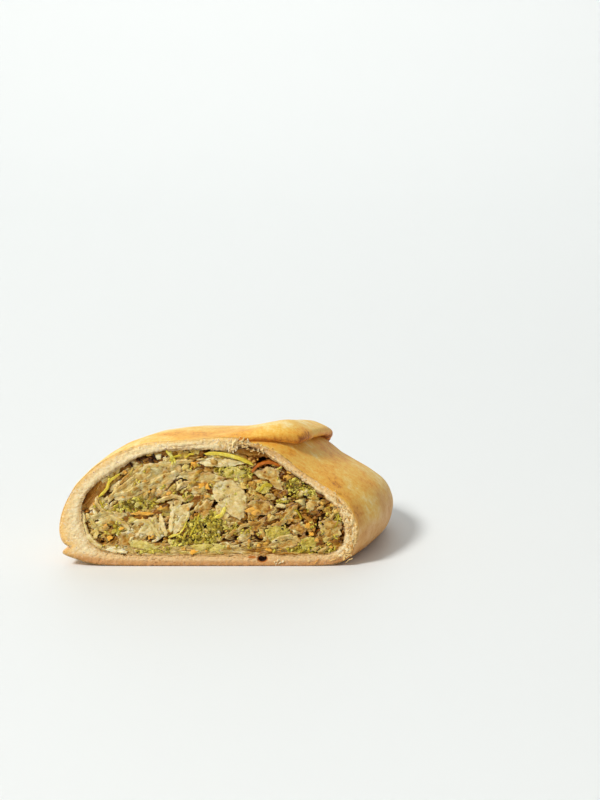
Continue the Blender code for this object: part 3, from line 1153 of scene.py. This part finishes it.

# Gaps between the pieces that are set deep and painted dark as shade, as ovals.
HOLES = (
    (-23.0, 12.1, 3.2, 0.7, 0.6),
    (-19.3, 9.5, 1.8, 0.7, 0.75),
    (-7.7, 18.2, 3.2, 0.5, 0.3),
    (-12.9, 14.8, 2.4, 0.5, 1.2),
    (-22.2, 29.0, 2.9, 0.6, 0.45),
    (-35.0, 7.6, 0.9, 0.6, 0.0),
    (-28.8, 15.9, 2.8, 0.5, 0.2),
    (-33.3, 19.6, 1.5, 0.8, -0.6),
    (2.0, 20.4, 1.1, 0.6, 0.8),
    (5.1, 9.9, 1.4, 0.5, 1.1),
    (-0.7, 12.9, 1.3, 0.8, 0.6),
    (8.8, 9.1, 1.3, 0.7, 0.3),
    (-8.1, 28.6, 1.8, 0.5, -0.1),
    (-12.7, 21.9, 1.1, 0.5, 0.0),
    (18.5, 16.7, 1.5, 0.6, 0.3),
    (15.6, 13.7, 2.4, 0.4, 0.7),
    (24.3, 13.1, 2.4, 0.5, 0.1),
    (31.3, 22.9, 1.5, 0.9, -0.5),
    (27.6, 20.9, 1.2, 0.5, 0.2),
    (21.4, 19.9, 1.0, 0.6, 0.0),
    (36.1, 20.2, 3.1, 0.7, 1.45),
    (38.7, 15.9, 1.8, 0.6, -0.2),
    (35.4, 14.4, 1.8, 0.5, 1.4),
    (23.4, 31.4, 1.4, 0.5, 1.4),
    (24.6, 26.4, 1.4, 0.6, 0.9),
    (16.9, 34.9, 2.0, 0.9, 0.6),
    (13.4, 27.9, 1.0, 0.6, 0.0),
    (11.9, 24.6, 2.2, 0.35, 1.5),
    (42.6, 12.0, 1.7, 0.4, 1.3),
    (35.4, 4.5, 1.9, 0.6, 0.0),
    (28.4, 29.6, 1.2, 0.5, -0.6),
    (-26.2, 33.6, 1.6, 0.6, 0.5),
    (7.6, 29.9, 1.2, 0.6, 0.0),
)

# Shallow brown recesses along the pastry, as ovals.
BROWN_PATCHES = (
    (-37.2, 23.6, 7.4, 2.9, 0.86),
    (-35.9, 7.5, 2.8, 1.9, 0.1),
    (-27.0, 32.2, 4.0, 1.2, 0.6),
    (-20.0, 36.0, 5.6, 1.3, 0.12),
    (-4.0, 37.4, 7.6, 1.3, 0.0),
    (14.6, 36.4, 6.4, 2.2, -0.36),
    (26.6, 30.6, 5.0, 1.2, -0.6),
    (39.6, 20.2, 4.0, 1.2, -0.7),
    (42.8, 8.4, 1.6, 2.6, 0.0),
    (-40.0, 12.6, 1.2, 2.4, 0.0),
    (15.0, 4.9, 3.4, 0.8, 0.0),
)

# Leaf edges that stand out, each with its thickness and tint and the points it runs along.
CABBAGE_EDGES = (
    (1.3, 0.82, (-40.9, 18.2), (-40.9, 14.5), (-39.6, 10.6), (-37.0, 7.2), (-33.4, 5.0)),
    (0.9, 0.7, (-39.8, 17.4), (-37.4, 14.4), (-36.4, 11.4), (-37.4, 9.0)),
    (0.9, 0.8, (-37.6, 18.6), (-36.0, 17.0), (-34.0, 18.2), (-32.8, 20.6)),
    (1.2, 0.75, (-39.1, 15.4), (-32.9, 17.2), (-26.3, 16.9)),
    (1.0, 0.7, (-32.9, 17.0), (-28.0, 14.6), (-25.5, 12.0)),
    (0.9, 0.6, (-38.7, 13.3), (-34.6, 12.0), (-32.5, 13.3)),
    (1.1, 0.82, (-24.7, 14.4), (-20.5, 14.8), (-17.9, 12.5), (-15.6, 9.1)),
    (1.0, 0.78, (-15.6, 17.3), (-14.8, 12.9), (-13.9, 10.0)),
    (0.9, 0.85, (-11.5, 20.5), (-11.9, 16.3), (-12.5, 11.2)),
    (0.9, 0.72, (-6.5, 18.8), (-8.2, 14.6), (-11.5, 10.3)),
    (0.9, 0.7, (-30.5, 23.1), (-25.5, 24.8), (-19.7, 28.2)),
    (1.0, 0.62, (-32.5, 21.4), (-29.6, 24.8), (-24.7, 28.6), (-22.2, 30.7)),
    (1.1, 0.72, (-18.9, 26.5), (-13.9, 29.9), (-9.8, 31.6)),
    (0.9, 0.66, (-16.8, 21.2), (-11.5, 23.3), (-7.3, 21.4)),
    (0.8, 0.75, (-36.6, 22.7), (-35.4, 19.7), (-32.9, 18.0)),
    (0.7, 0.6, (9.0, 11.4), (11.5, 13.3), (16.8, 14.8)),
    (0.7, 0.5, (5.6, 9.0), (8.2, 11.4), (10.0, 12.0)),
    (1.0, 0.78, (20.5, 13.5), (23.9, 14.6), (26.3, 17.1), (28.8, 20.5)),
    (0.8, 0.66, (16.4, 12.5), (18.0, 10.3), (19.7, 7.8)),
    (0.9, 0.9, (20.5, 7.8), (26.3, 9.7), (30.4, 7.8)),
    (0.8, 0.62, (12.3, 22.0), (15.6, 23.3), (18.9, 22.0)),
    (0.7, 0.6, (24.3, 17.1), (27.2, 15.0), (30.2, 15.4)),
    (0.9, 0.55, (30.4, 17.3), (33.0, 15.0), (34.4, 11.6)),
    (0.8, 0.6, (38.0, 7.0), (41.0, 8.2), (42.4, 10.4)),
    (0.9, 0.7, (-13.4, 32.4), (-9.4, 34.2), (-4.8, 35.4)),
    (0.8, 0.5, (-25.6, 23.6), (-22.0, 26.2), (-15.4, 28.2)),
    (0.8, 0.55, (-28.4, 27.4), (-25.2, 30.4), (-21.0, 32.6)),
)


def in_the_open(x, z):
    """Whether a place is neither broccoli nor a gap."""
    if patch_at(BROWN_PATCHES, x, z) > 0.3 and x < -30:
        return False
    plain = patch_at(BROCCOLI, x, z) < 0.12 and patch_at(HOLES, x, z) < 0.01
    return plain and hollow_at(x, z + 1.5) < 2


def slope_at(x, z):
    """How steeply the shreds mostly lie."""
    if z < 7.5:
        return 0.02
    if x < -2:
        return 0.62 if z > 20 else 0.35
    return -0.25 if z > 26 else 0.15


def hollow_at(x, z):
    """How far the filling stands clear of the pastry."""
    left = (x < -26) * np.maximum(2.9 * bump_at(z, 24.5, 5.0) - 0.7, 0)
    top = (z > 29) * (1.0 * bump_at(x, -21, 5) + 1.1 * bump_at(x, -4, 6) + 1.6 * bump_at(x, 13, 6))
    return left + top


def furrow_at(x, z):
    """1 in the furrows that follow the lower side of the leaf edges."""
    most = np.zeros(x.shape)
    for thickness, _, *points in CABBAGE_EDGES:
        for a, b in smooth_path(points, 12 * len(points)) + (0.35, -0.85 * thickness):
            by = (np.abs(x - a) < 1.5) & (np.abs(z - b) < 1.5)
            most[by] = np.maximum(most[by], np.exp(-((x[by] - a) ** 2 + (z[by] - b) ** 2) / 0.22))
    return most


CORE_SET_BACK = 0.95
CORE_CENTRE = np.array((2.0, 17.0))
CORE_COLUMNS = 680
CORE_SIDE_RINGS = 22
CORE_FACE_RINGS = 122
CORE_SIDE_LOOKS = {"tint": 0.3, "gap": 0.1, "brown": 1.0}  # the others are 0 there


def core_sides():
    """The core's rings from the closed end to the cut, and its outline at the cut."""
    places = np.linspace(0, len(INSIDE), CORE_COLUMNS, endpoint=False)
    inside, way = curve(INSIDE, places) / MM, outward(INSIDE, places)
    clear = hollow_at(inside[:, 0], inside[:, 1])[:, None]
    forward = np.maximum(smooth_step(12, 6, inside[:, 1]), smooth_step(-34, -38, inside[:, 0]))
    front = CORE_SET_BACK + 0.9 - 0.8 * forward
    rings = []
    for angle in LAST_ANGLE * np.linspace(1, 0, CORE_SIDE_RINGS) ** 1.9:
        closing = smooth_step(0.8, 3.6, (LENGTH - END_WALL) / MM * math.sin(angle))
        outline = inside - way * (clear * (1 - 0.95 * closing) - 0.35)
        ring = place_ring(outline * MM, angle, LENGTH - END_WALL)
        ring[:, 1] = np.maximum(ring[:, 1], CUT_Y + front * MM)
        rings.append(ring)
    return np.array(rings), outline


def core_face(outline):
    """The core's rings at the cut, and what its finish needs to know of each point."""
    shares = np.linspace(0.995, 0.0005, CORE_FACE_RINGS)
    face = np.array([CORE_CENTRE + (outline - CORE_CENTRE) * share for share in shares])
    x, z = face[..., 0], face[..., 1]
    place = on_cut(x, z)
    depth, tint, hue, edge, along, over = packed_leaves(x, z, 1.0, 1.0)
    small, small_tint, _, small_edge, _, _ = packed_leaves(x, z, 0.45, 7.0)

    green = smooth_step(0.0, 0.25, patch_at(BROCCOLI, x, z))
    hole = smooth_step(0.0, 0.6, patch_at(HOLES, x, z))
    brown = smooth_step(0.0, 0.4, patch_at(BROWN_PATCHES, x, z))
    bare = brown * smooth_step(-30, -34, x)
    pits = smooth_step(0.2, 0.5, noise_at(place * (1, 1.3, 1), 0.75, 12))
    furrow = furrow_at(x, z) * smooth_step(-0.5, 0.2, noise_at(place, 2.5, 14))
    low = smooth_step(8, 6, z)
    loose = smooth_step(-0.2, 0.35, noise_at(place, 6.0, 2)) + 0.6 * smooth_step(8, 16, x)
    open_share = (1 - 0.8 * low) * np.minimum(loose, 1.4)
    edge, small_edge = edge * (1 - 0.9 * bare), small_edge * (1 - 0.9 * bare)

    depth = depth * (1 - 0.6 * green) + small * (0.42 + 0.6 * green) + 0.05 * fibres_at(along, over)
    depth = CORE_SET_BACK + depth * (1 - 0.8 * bare)
    depth += (0.15 + 1.3 * open_share) * edge * (1 - 0.5 * green) + 0.16 * small_edge - 0.35 * low
    depth += 1.1 * brown + 1.5 * furrow + 3.0 * hole + 0.6 * pits * (0.3 + 0.4 * green)
    depth += 0.5 * smooth_step(0.97, 1, shares)[:, None] * (1 - low)
    # Painted shade: gap is high between the small leaves, in the holes, in the furrows under leaf edges and
    # in pits, which are also set deep.
    gap = edge * (0.15 + 0.9 * open_share) + 0.15 * small_edge
    gap += 1.2 * hole + 0.75 * furrow + 0.45 * pits * (0.5 + 0.4 * green)
    tint = tint + (0.75 - tint) * 0.6 * low
    looks = {
        "tint": 0.7 * tint + 0.22 * small_tint + 0.04 - darker_right(x * MM),
        "hue": np.where(small_edge + edge < 0.5, hue, 0.5),
        "gap": gap,
        "brown": brown,
        "green": green,
        "grain_along": along * MM,
        "grain_across": over * MM,
        "edge": 0.9 * edge,
    }
    return in_section(np.dstack((x, z, depth))), looks


def make_core(material):
    """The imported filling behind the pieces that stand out: small leaves on each other, with gaps."""
    sides, outline = core_sides()
    face, looks = core_face(outline)
    values = {}
    for name, look in looks.items():
        side_look = np.full(sides.shape[:2], CORE_SIDE_LOOKS.get(name, 0.0))
        values[name] = closed(np.concatenate((side_look, look)))
    bm = closed_skin(closed(np.concatenate((sides, face))), values)
    core = finish_piece("filling_core", bm, material)
    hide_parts("filling")


# Cut pieces that stand out, each with its set-back, its tint and its outline.
CABBAGE_SLABS = (
    (0.5, 0.62, (-31.0, 22.5), (-27.5, 28.0), (-22.0, 32.2), (-14.0, 33.0), (-9.6, 31.0), (-12.0, 27.6),
     (-20.0, 24.8), (-27.0, 21.6)),
    (0.1, 0.72, (2.1, 27.5), (7.9, 28.8), (12.2, 24.1), (12.1, 18.8), (10.5, 15.4), (5.9, 18.1),
     (3.4, 20.8), (1.4, 23.5)),
    (0.5, 0.45, (-3.8, 18.6), (-0.6, 22.0), (1.6, 21.4), (0.2, 17.4), (-2.0, 14.9)),
    (0.35, 0.72, (2.0, 20.4), (4.6, 20.2), (6.6, 17.0), (5.4, 14.6), (2.6, 16.2)),
    (0.45, 0.62, (-20.5, 33.8), (-13.8, 34.9), (-8.6, 33.2), (-9.4, 30.4), (-17.2, 30.6), (-22.4, 31.4)),
    (0.4, 0.55, (-9.6, 30.8), (-2.0, 31.6), (6.0, 29.4), (1.4, 27.6), (-4.2, 28.0)),
    (0.25, 0.78, (-3.6, 34.2), (1.4, 36.4), (7.0, 35.6), (12.4, 34.2), (6.0, 33.1), (0.6, 33.2)),
    (0.2, 0.74, (15.0, 31.2), (19.2, 33.2), (22.4, 32.1), (23.6, 28.8), (24.2, 25.2), (21.6, 26.0),
     (19.6, 28.6), (16.4, 29.4)),
    (0.3, 0.8, (31.4, 20.2), (34.0, 23.2), (36.0, 22.8), (35.4, 20.0), (33.0, 18.2)),
    (0.35, 0.7, (36.2, 14.6), (40.2, 15.8), (43.0, 14.2), (43.2, 10.2), (39.2, 9.0), (36.2, 11.0)),
    (0.4, 0.62, (26.0, 12.8), (29.2, 14.2), (32.2, 12.6), (31.0, 10.2), (27.4, 10.6)),
    (0.4, 0.7, (20.4, 8.0), (25.2, 8.4), (28.8, 9.2), (29.6, 7.0), (24.8, 5.8), (20.0, 6.6)),
    (0.35, 0.6, (9.4, 9.4), (14.0, 13.8), (18.6, 16.4), (18.2, 14.0), (14.2, 10.2), (11.2, 8.0)),
    (0.3, 0.64, (23.0, 16.0), (25.6, 19.8), (28.2, 20.4), (29.0, 17.6), (26.0, 14.8)),
    (0.2, 0.9, (-33.8, 5.5), (-30.4, 6.3), (-26.0, 4.9), (-26.8, 4.1), (-31.2, 4.4)),
    (0.5, 0.42, (-29.6, 10.8), (-25.4, 11.4), (-20.0, 7.8), (-12.6, 7.4), (-14.0, 5.4), (-24.0, 5.3),
     (-29.0, 7.2)),
    (0.4, 0.66, (-36.6, 16.4), (-31.2, 18.2), (-26.6, 17.6), (-28.4, 14.4), (-34.2, 14.0)),
    (0.35, 0.58, (-35.8, 23.4), (-33.2, 21.8), (-31.6, 19.2), (-33.4, 18.2), (-36.4, 20.6)),
    (0.3, 0.7, (-20.6, 15.6), (-17.0, 16.2), (-15.2, 12.4), (-18.6, 9.8), (-22.6, 11.6)),
    (0.35, 0.68, (-12.4, 19.6), (-8.6, 20.4), (-5.0, 21.0), (-6.8, 17.0), (-10.4, 15.6)),
    (0.3, 0.74, (-12.6, 15.0), (-9.4, 16.6), (-5.8, 17.4), (-8.2, 12.0), (-11.4, 10.6)),
    (0.45, 0.55, (-24.0, 13.8), (-21.0, 14.4), (-20.8, 12.2), (-23.8, 10.6), (-26.0, 11.6)),
)
TAN_SHEET = ((12.4, 20.4), (14.6, 22.2), (19.4, 21.8), (21.8, 18.6), (18.6, 16.9), (13.2, 17.4))


def make_cabbage_slices(material):
    """Cut pieces of leaf: the ones that are placed, and many more wherever there is room."""
    heap = Heap("cabbage_slices", "pale_cabbage", 21)
    for set_back, tint, *knots in CABBAGE_SLABS:
        hue = pick(0.4, 0.66)
        slice_piece(heap, knots, set_back + 0.15, 1.6, tint - 0.08, count=84, rings=17, ragged=0.46, hue=hue)
    slice_piece(heap, TAN_SHEET, 0.5, 0.9, 0.5, count=70, rings=15, ragged=0.45, hue=0.5)
    for x, z in scatter(3.8, 3000, 0.3):
        if not in_the_open(x, z):
            continue
        slope = slope_at(x, z) + drift(0, 0.45)
        long = pick(2.4, 5.8)
        knots = turned(rough_knots(long, long * pick(0.4, 0.75), chance.choice((5, 6, 7)), 0.4), slope)
        steep = pick(0.05, 0.25)
        tilt = (steep * math.sin(slope), -steep * math.cos(slope))
        slice_piece(heap, knots + (x, z), pick(0.6, 1.0), 1.2, drift(0.5, 0.13), tilt=tilt)
    heap.finish(material)


def make_cabbage_chips(material):
    """Chopped bits, broad and thin, that lie on everything else."""
    heap = Heap("cabbage_chips", "pale_cabbage", 25)
    for x, z in scatter(2.0, 5000, 0.7):
        sunken = patch_at(HOLES, x, z) > 0.01 or patch_at(BROWN_PATCHES, x, z) > 0.05
        if sunken or hollow_at(x, z + 1.5) > 2 or chance.random() > 0.3:
            continue
        long = pick(0.6, 1.5)
        shape = (long, 0.3 * long, long * pick(0.35, 0.7))
        turn = -slope_at(x, z) + drift(0, 0.5)
        heap.ball(x, z, pick(0.35, 0.75), shape, turn, tint_near(0.45, 0.11), 2, 0.8)
    heap.finish(material)


# Zones of loose shreds: the gap between them, their slope and how much it varies, how long and how wide
# they are, and the zone's outline.
SHRED_ZONES = (
    (5.4, 0.6, 0.35, (2.5, 6.5), (0.5, 0.9), (-31, 22), (-26, 23.5), (-12, 27), (-3, 30), (-6, 34),
     (-20, 35), (-28, 31)),
    (4.6, 0.5, 0.7, (2.0, 5.0), (0.5, 1.0), (-38, 13), (-31, 22), (-12, 21), (-6, 16), (-12, 7),
     (-30, 8)),
    (3.4, 0.0, 0.1, (3.0, 7.0), (0.4, 0.8), (-34, 5), (-20, 4.2), (0, 4.0), (18, 4.0), (18, 7.5),
     (-4, 7.2), (-30, 7)),
    (4.6, 0.1, 0.8, (1.5, 4.0), (0.4, 0.9), (0, 27), (14, 30), (28, 24), (40, 18), (42, 10), (34, 7),
     (12, 8), (8, 14)),
)


def make_cabbage_shreds(material):
    """Leaf edges, seen as strokes: loose ones by zone, and the long ones that stand out."""
    heap = Heap("cabbage_shreds", "pale_cabbage", 31)
    for gap, slope, spread, lengths, widths, *zone in SHRED_ZONES:
        for x, z in scatter(gap, 1500, 0.5, zone):
            path = bent_line(x, z, slope + drift(0, spread), pick(*lengths), drift(0, 0.2))
            if in_the_open(x, z) and all(room_at(*point) > 0.3 for point in path):
                tint = tint_near(0.58, 0.15)
                width, depth, set_back = 1.6 * pick(*widths), pick(1.2, 2.0), pick(0.5, 0.95)
                shred(heap, path, width, depth, set_back, tint, 0.6, 13, tilt=pick(0.2, 0.6))
    for thickness, tint, *points in CABBAGE_EDGES:
        set_back, hue = pick(0.25, 0.45), pick(0.3, 0.6)
        shred(heap, points, 1.7 * thickness, 2.2, set_back, tint - 0.08, 0.7, 31, tilt=0.4, hue=hue)
    heap.finish(material)


# Pale green leaves, each with its set-back, its tint and its outline.
GREEN_LEAVES = (
    (0.3, 0.85, (18.6, 12.2), (21.4, 13.8), (24.6, 13.0), (26.6, 11.0), (24.6, 8.6), (20.8, 7.9),
     (18.4, 9.6)),
    (0.35, 0.8, (29.6, 8.8), (33.4, 10.0), (36.2, 8.4), (34.6, 6.2), (30.4, 6.0)),
    (0.4, 0.75, (-6.2, 6.8), (0.8, 7.6), (6.6, 6.4), (3.0, 4.8), (-4.4, 4.9)),
    (0.35, 0.75, (-25.8, 8.6), (-20.4, 8.2), (-15.6, 6.4), (-18.8, 5.2), (-25.2, 6.4)),
    (0.45, 0.8, (4.2, 31.6), (8.0, 33.0), (12.6, 31.6), (11.0, 29.6), (6.2, 29.4)),
    (0.4, 0.9, (15.8, 27.6), (18.6, 28.4), (20.6, 26.4), (19.0, 24.2), (16.0, 24.8)),
)


def make_broccoli(buds_material, stem_material):
    """Cut stems with clusters of buds on them, pale green leaves and stray buds."""
    stems = Heap("broccoli_stems", "green_broccoli", 41)
    buds = Heap("broccoli_buds", "green_broccoli", 41)
    for x, z in scatter(1.5, 5000, 0.7):
        if patch_at(BROCCOLI, x, z) > 0.02:
            size = pick(1.6, 3.0)
            knots = rough_knots(size, size * pick(0.5, 0.9), 6, 0.3)
            knots = turned(knots, pick(0, 3)) + (x, z)
            slice_piece(stems, knots, pick(0.55, 1.0), 1.4, pick(0.3, 0.9), count=16, rings=5, ragged=0.2)
    for set_back, tint, *knots in GREEN_LEAVES:
        slice_piece(stems, knots, set_back, 1.2, tint, count=60, rings=12, ragged=0.4, hue=0.2)
    for x, z in scatter(0.66, 26000, 0.3):
        green = float(patch_at(BROCCOLI, x, z))
        thick = noise.noise((x * 0.55, z * 0.55, 3.0))
        if green > 0.0 and thick > -0.12 - 0.5 * green and patch_at(HOLES, x, z) < 0.1:
            size = pick(0.26, 0.62)
            shape = (size * pick(0.9, 1.5), 0.8 * size, size)
            tint = 0.64 + 0.7 * noise.noise((x * 0.5, z * 0.5, 9.0)) + drift(0, 0.12)
            tint = 0.05 if chance.random() < 0.1 else min(max(tint, 0), 1)
            buds.ball(x, z, pick(0.6, 1.1), shape, pick(-1.5, 1.5), tint, 2, 0.7)
    for x, z in scatter(1.5, 4000, 0.5):
        if chance.random() < 0.2 and noise.noise((x * 0.3, z * 0.3, 6.0)) > -0.15:
            tint = pick(0.45, 1.0)
            for _ in range(chance.choice((1, 2, 3, 4))):
                size = pick(0.18, 0.42)
                place = (x + drift(0, 0.4), z + drift(0, 0.4), pick(0.1, 0.6))
                buds.ball(*place, (size * 1.3, size, size), pick(-1.5, 1.5), tint, 1, 0.7)
    stems.finish(stem_material)
    buds.finish(buds_material)


# Pieces of carrot: X and Z of the middle, width, height and slope.
CARROT_SPOTS = (
    (-21.6, 17.5, 6.2, 1.1, 0.0), (-0.9, 26.8, 3.6, 1.7, -0.2), (0.0, 23.2, 2.0, 1.1, 0.2),
    (-4.0, 33.8, 2.6, 1.3, -0.4), (-18.6, 9.8, 2.2, 1.8, 0.3), (-8.2, 5.8, 1.8, 1.6, 0.0),
    (-4.7, 4.8, 1.9, 1.3, 0.3), (14.6, 18.2, 5.2, 2.0, -0.15), (-15.4, 19.4, 1.8, 1.5, 0.8),
    (-28.0, 12.6, 1.8, 0.9, 0.3), (-33.4, 13.3, 1.5, 0.9, 0.3), (-20.6, 27.9, 2.0, 1.0, 0.4),
    (-27.0, 31.4, 1.6, 1.2, 0.2), (-32.2, 9.0, 1.5, 1.3, 0.4), (32.2, 13.4, 2.4, 1.9, 0.1),
    (42.4, 19.0, 2.0, 1.4, -0.4), (33.6, 10.6, 1.8, 1.4, 0.4), (35.2, 8.6, 1.6, 1.3, 0.2),
    (19.6, 5.4, 1.6, 1.1, 0.0), (6.0, 6.4, 1.4, 0.8, 0.3), (-12.6, 24.0, 1.4, 0.8, 0.3),
    (26.4, 31.2, 1.5, 0.9, -0.6), (39.6, 6.4, 1.5, 1.0, 0.2), (16.4, 6.9, 1.4, 1.3, 0.2),
)


def make_carrot_bits(material):
    heap = Heap("carrot_bits", "orange_carrot", 51)
    for x, z, wide, high, slope in CARROT_SPOTS:
        knots = turned(rough_knots(wide * 1.1, high * 1.1, 6, 0.3), slope) + (x, z)
        slice_piece(heap, knots, pick(0.15, 0.4), 1.3, pick(0.2, 0.95), ragged=0.4)
    for x, z in scatter(7.5, 400, 1.2):
        size = pick(0.7, 1.4)
        knots = turned(rough_knots(size, size * 0.7, 5, 0.4), pick(0, 3)) + (x, z)
        slice_piece(heap, knots, pick(0.3, 0.7), 1.0, pick(0, 0.7), count=12, rings=4, ragged=0.15)
    heap.finish(material)


# Lentils: X, Z and half size of each.
LENTILS = (
    (11.1, 26.4, 1.25), (14.2, 27.3, 1.2), (13.6, 24.8, 1.3), (15.4, 23.0, 1.1), (38.2, 18.9, 1.3),
    (39.4, 17.2, 1.2), (41.6, 18.2, 1.2), (40.4, 20.3, 1.0), (19.6, 16.2, 1.2), (18.6, 7.3, 1.1),
    (-18.6, 37.4, 1.2), (-9.2, 38.4, 1.1), (-9.0, 36.9, 0.9), (26.0, 29.4, 1.3), (36.8, 20.9, 1.1),
    (31.2, 8.4, 1.0), (20.4, 19.4, 1.2), (16.6, 27.9, 1.0),
)


def make_lentil_bits(material):
    heap = Heap("lentil_bits", "cooked_vegetables", 61)
    for x, z, size in LENTILS:
        shape = (size, size * 0.85, size * pick(0.75, 0.95))
        heap.ball(x, z, 0.5 + size * 0.8, shape, pick(-0.8, 0.8), pick(0.4, 1), 3, 0.4)
    heap.finish(material)


# Yellow-green strips, each with its thickness, tint and set-back and the points it runs along.
LEAF_STRIPS = (
    (1.2, 0.85, 0.0, (-1.2, 37.3), (4.0, 37.4), (9.6, 36.2), (14.9, 33.5)),
    (0.95, 0.8, 0.1, (-35.4, 23.0), (-33.0, 25.6), (-31.6, 28.4), (-28.4, 30.8)),
    (0.9, 0.9, 0.0, (-13.4, 38.6), (-11.6, 36.6), (-10.2, 34.4)),
    (0.7, 0.6, 0.1, (-12.4, 35.0), (-10.4, 36.4), (-8.4, 37.0)),
    (0.7, 0.75, 0.2, (-12.0, 38.4), (-11.8, 36.0), (-10.6, 33.6)),
    (0.6, 0.7, 0.2, (-7.2, 36.0), (-6.0, 37.0), (-4.4, 37.4)),
    (1.3, 0.9, 0.1, (2.0, 16.2), (4.6, 17.4), (5.6, 19.8)),
    (1.2, 0.7, 0.3, (16.6, 25.0), (18.4, 27.0), (20.8, 26.6)),
    (0.5, 0.4, 0.2, (-30.6, 17.6), (-33.6, 19.0), (-35.0, 22.0)),
    (0.5, 0.8, 0.1, (-10.4, 9.6), (-8.0, 12.6), (-6.8, 16.4)),
    (0.6, 0.6, 0.3, (-2.8, 17.8), (-4.0, 14.0), (-6.2, 9.8)),
    (0.8, 0.9, 0.1, (-13.0, 9.6), (-10.6, 10.4), (-8.8, 9.4)),
    (0.6, 0.5, 0.3, (30.2, 15.6), (29.0, 18.0), (27.0, 19.4)),
    (0.6, 0.6, 0.3, (40.6, 12.6), (42.0, 15.0), (42.2, 17.4)),
)


def make_leaf_strips(material):
    heap = Heap("leaf_strips", "cooked_vegetables", 71)
    for thickness, tint, set_back, *points in LEAF_STRIPS:
        shred(heap, points, thickness, 2.6, set_back, tint, 0.2, 25, ragged=0.15)
    heap.finish(material)


# The curl of peel under the seam.
PEEL_ARC = ((14.2, 31.2), (16.0, 33.4), (19.6, 34.6), (24.4, 33.2))


def make_browned_peel(material):
    """One curl of peel under the seam."""
    heap = Heap("browned_peel", "cooked_vegetables", 81)
    shred(heap, PEEL_ARC, 0.9, 3.2, -0.05, 0.75, 0.15, 31, tilt=-0.6, ragged=0.2)
    heap.finish(material)


# Where dark crumbs lie under the top crust; they are dark partly as painted shade in the gap under it.
DARK_CRUMB_ZONE = ((-27, 34.6), (-18, 36.4), (-10, 36.8), (-10, 34.4), (-18, 34.8), (-26, 33.2))


def make_dark_crumbs(material):
    """Dark crumbs under the top crust, partly painted shade there, and small ones here and there, mostly on
    the broccoli.
    """
    heap = Heap("dark_crumbs", "cooked_vegetables", 91)
    # Painted shade in part: very dark crumbs in the gap under the top crust.
    for x, z in scatter(0.8, 300, 0.2, DARK_CRUMB_ZONE):
        size = pick(0.3, 0.75)
        heap.ball(x, z, pick(0.5, 1.9), (size * 1.3, size, size * 0.6), pick(-1, 1), chance.random(), 2, 0.8)
    for x, z in scatter(2.6, 4000, 0.6):
        if chance.random() < 0.25 + 0.5 * (patch_at(BROCCOLI, x, z) > 0.1):
            size = pick(0.16, 0.36)
            heap.ball(x, z, pick(0.1, 0.5), (size * 1.4, size, size), pick(-1, 1), chance.random(), 1, 0.3)
    heap.finish(material)


# Where torn pastry stands up in flakes: how many, the shortest and the longest, the way they mostly point
# and the line they stand on.
FLAKE_LINES = (
    (44, 0.8, 2.8, 0.9, (2.6, 41.0), (7.2, 41.2), (12.6, 41.6)),
    (24, 0.8, 2.4, 1.4, (5.6, 39.8), (8.0, 38.9), (10.0, 39.8)),
    (20, 0.6, 1.6, 0.1, (11.6, 41.0), (16.0, 40.2), (21.0, 38.4)),
    (22, 0.5, 1.3, -0.9, (11.0, 40.0), (16.0, 38.6), (21.6, 35.9), (28.0, 31.4)),
    (8, 0.4, 1.0, -0.6, (21.0, 38.0), (31.0, 30.8), (41.0, 24.0)),
    (14, 0.6, 1.8, 0.05, (-22.0, 39.2), (-8.0, 40.6), (4.0, 40.6)),
    (34, 1.0, 3.0, 2.1, (40.0, 24.0), (44.6, 18.6), (46.4, 13.0)),
    (34, 1.0, 2.8, 1.7, (43.4, 17.4), (45.4, 12.4), (45.6, 8.0), (44.0, 4.2)),
    (20, 0.8, 2.4, 1.5, (46.8, 14.0), (47.6, 9.6), (46.2, 5.0)),
    (18, 1.2, 3.2, 0.7, (44.0, 2.8), (46.0, 5.6), (47.0, 8.6)),
    (10, 1.2, 2.8, 0.25, (34.0, 2.2), (40.0, 2.6), (44.6, 4.2)),
)

# Loose crumbs by the burnt hole: X, Z and half size of each.
LOOSE_CRUMBS = (
    (21.6, 1.4, 0.35), (22.6, 1.9, 0.45), (23.2, 1.1, 0.35), (24.2, 1.6, 0.45), (22.0, 0.8, 0.25),
)


def make_pastry_flakes(material):
    heap = Heap("pastry_flakes", "pastry_crumb", 15)
    for count, shortest, longest, lean, *line in FLAKE_LINES:
        for x, z in smooth_path(line, count):
            x, z = x + drift(0, 0.5), z + drift(0, 0.4)
            path = bent_line(x, z, lean + drift(0, 0.5), pick(shortest, longest), drift(0, 0.25))
            width, depth, set_back, tint = pick(0.22, 0.55), pick(0.3, 0.8), pick(-0.35, 0.3), pick(0.2, 0.9)
            shred(heap, path, width, depth, set_back, tint, 0.5, 8, tilt=pick(-0.6, 0.6), ragged=0.5)
    for x, z, size in LOOSE_CRUMBS:
        heap.ball(x, z, -0.1, (size * 1.3, size * 0.8, size * 0.6), pick(-1, 1), 0.6, 2, 0.8)
    heap.finish(material)


def make_filling():
    make_core(packed_filling())
    make_cabbage_slices(cooked_cabbage("pale_cabbage"))
    make_cabbage_chips(cooked_cabbage("cabbage_chips"))
    make_cabbage_shreds(cooked_cabbage("cabbage_edges"))
    make_broccoli(broccoli_bud(), broccoli_stem())
    make_carrot_bits(cooked_carrot())
    make_lentil_bits(cooked_lentil())
    make_leaf_strips(green_leaf())
    make_browned_peel(browned_skin())
    make_dark_crumbs(dark_crumb())


make_camera()
make_floor()
make_lights()
make_crust()
make_pastry_flakes(pastry_crumb())
make_filling()
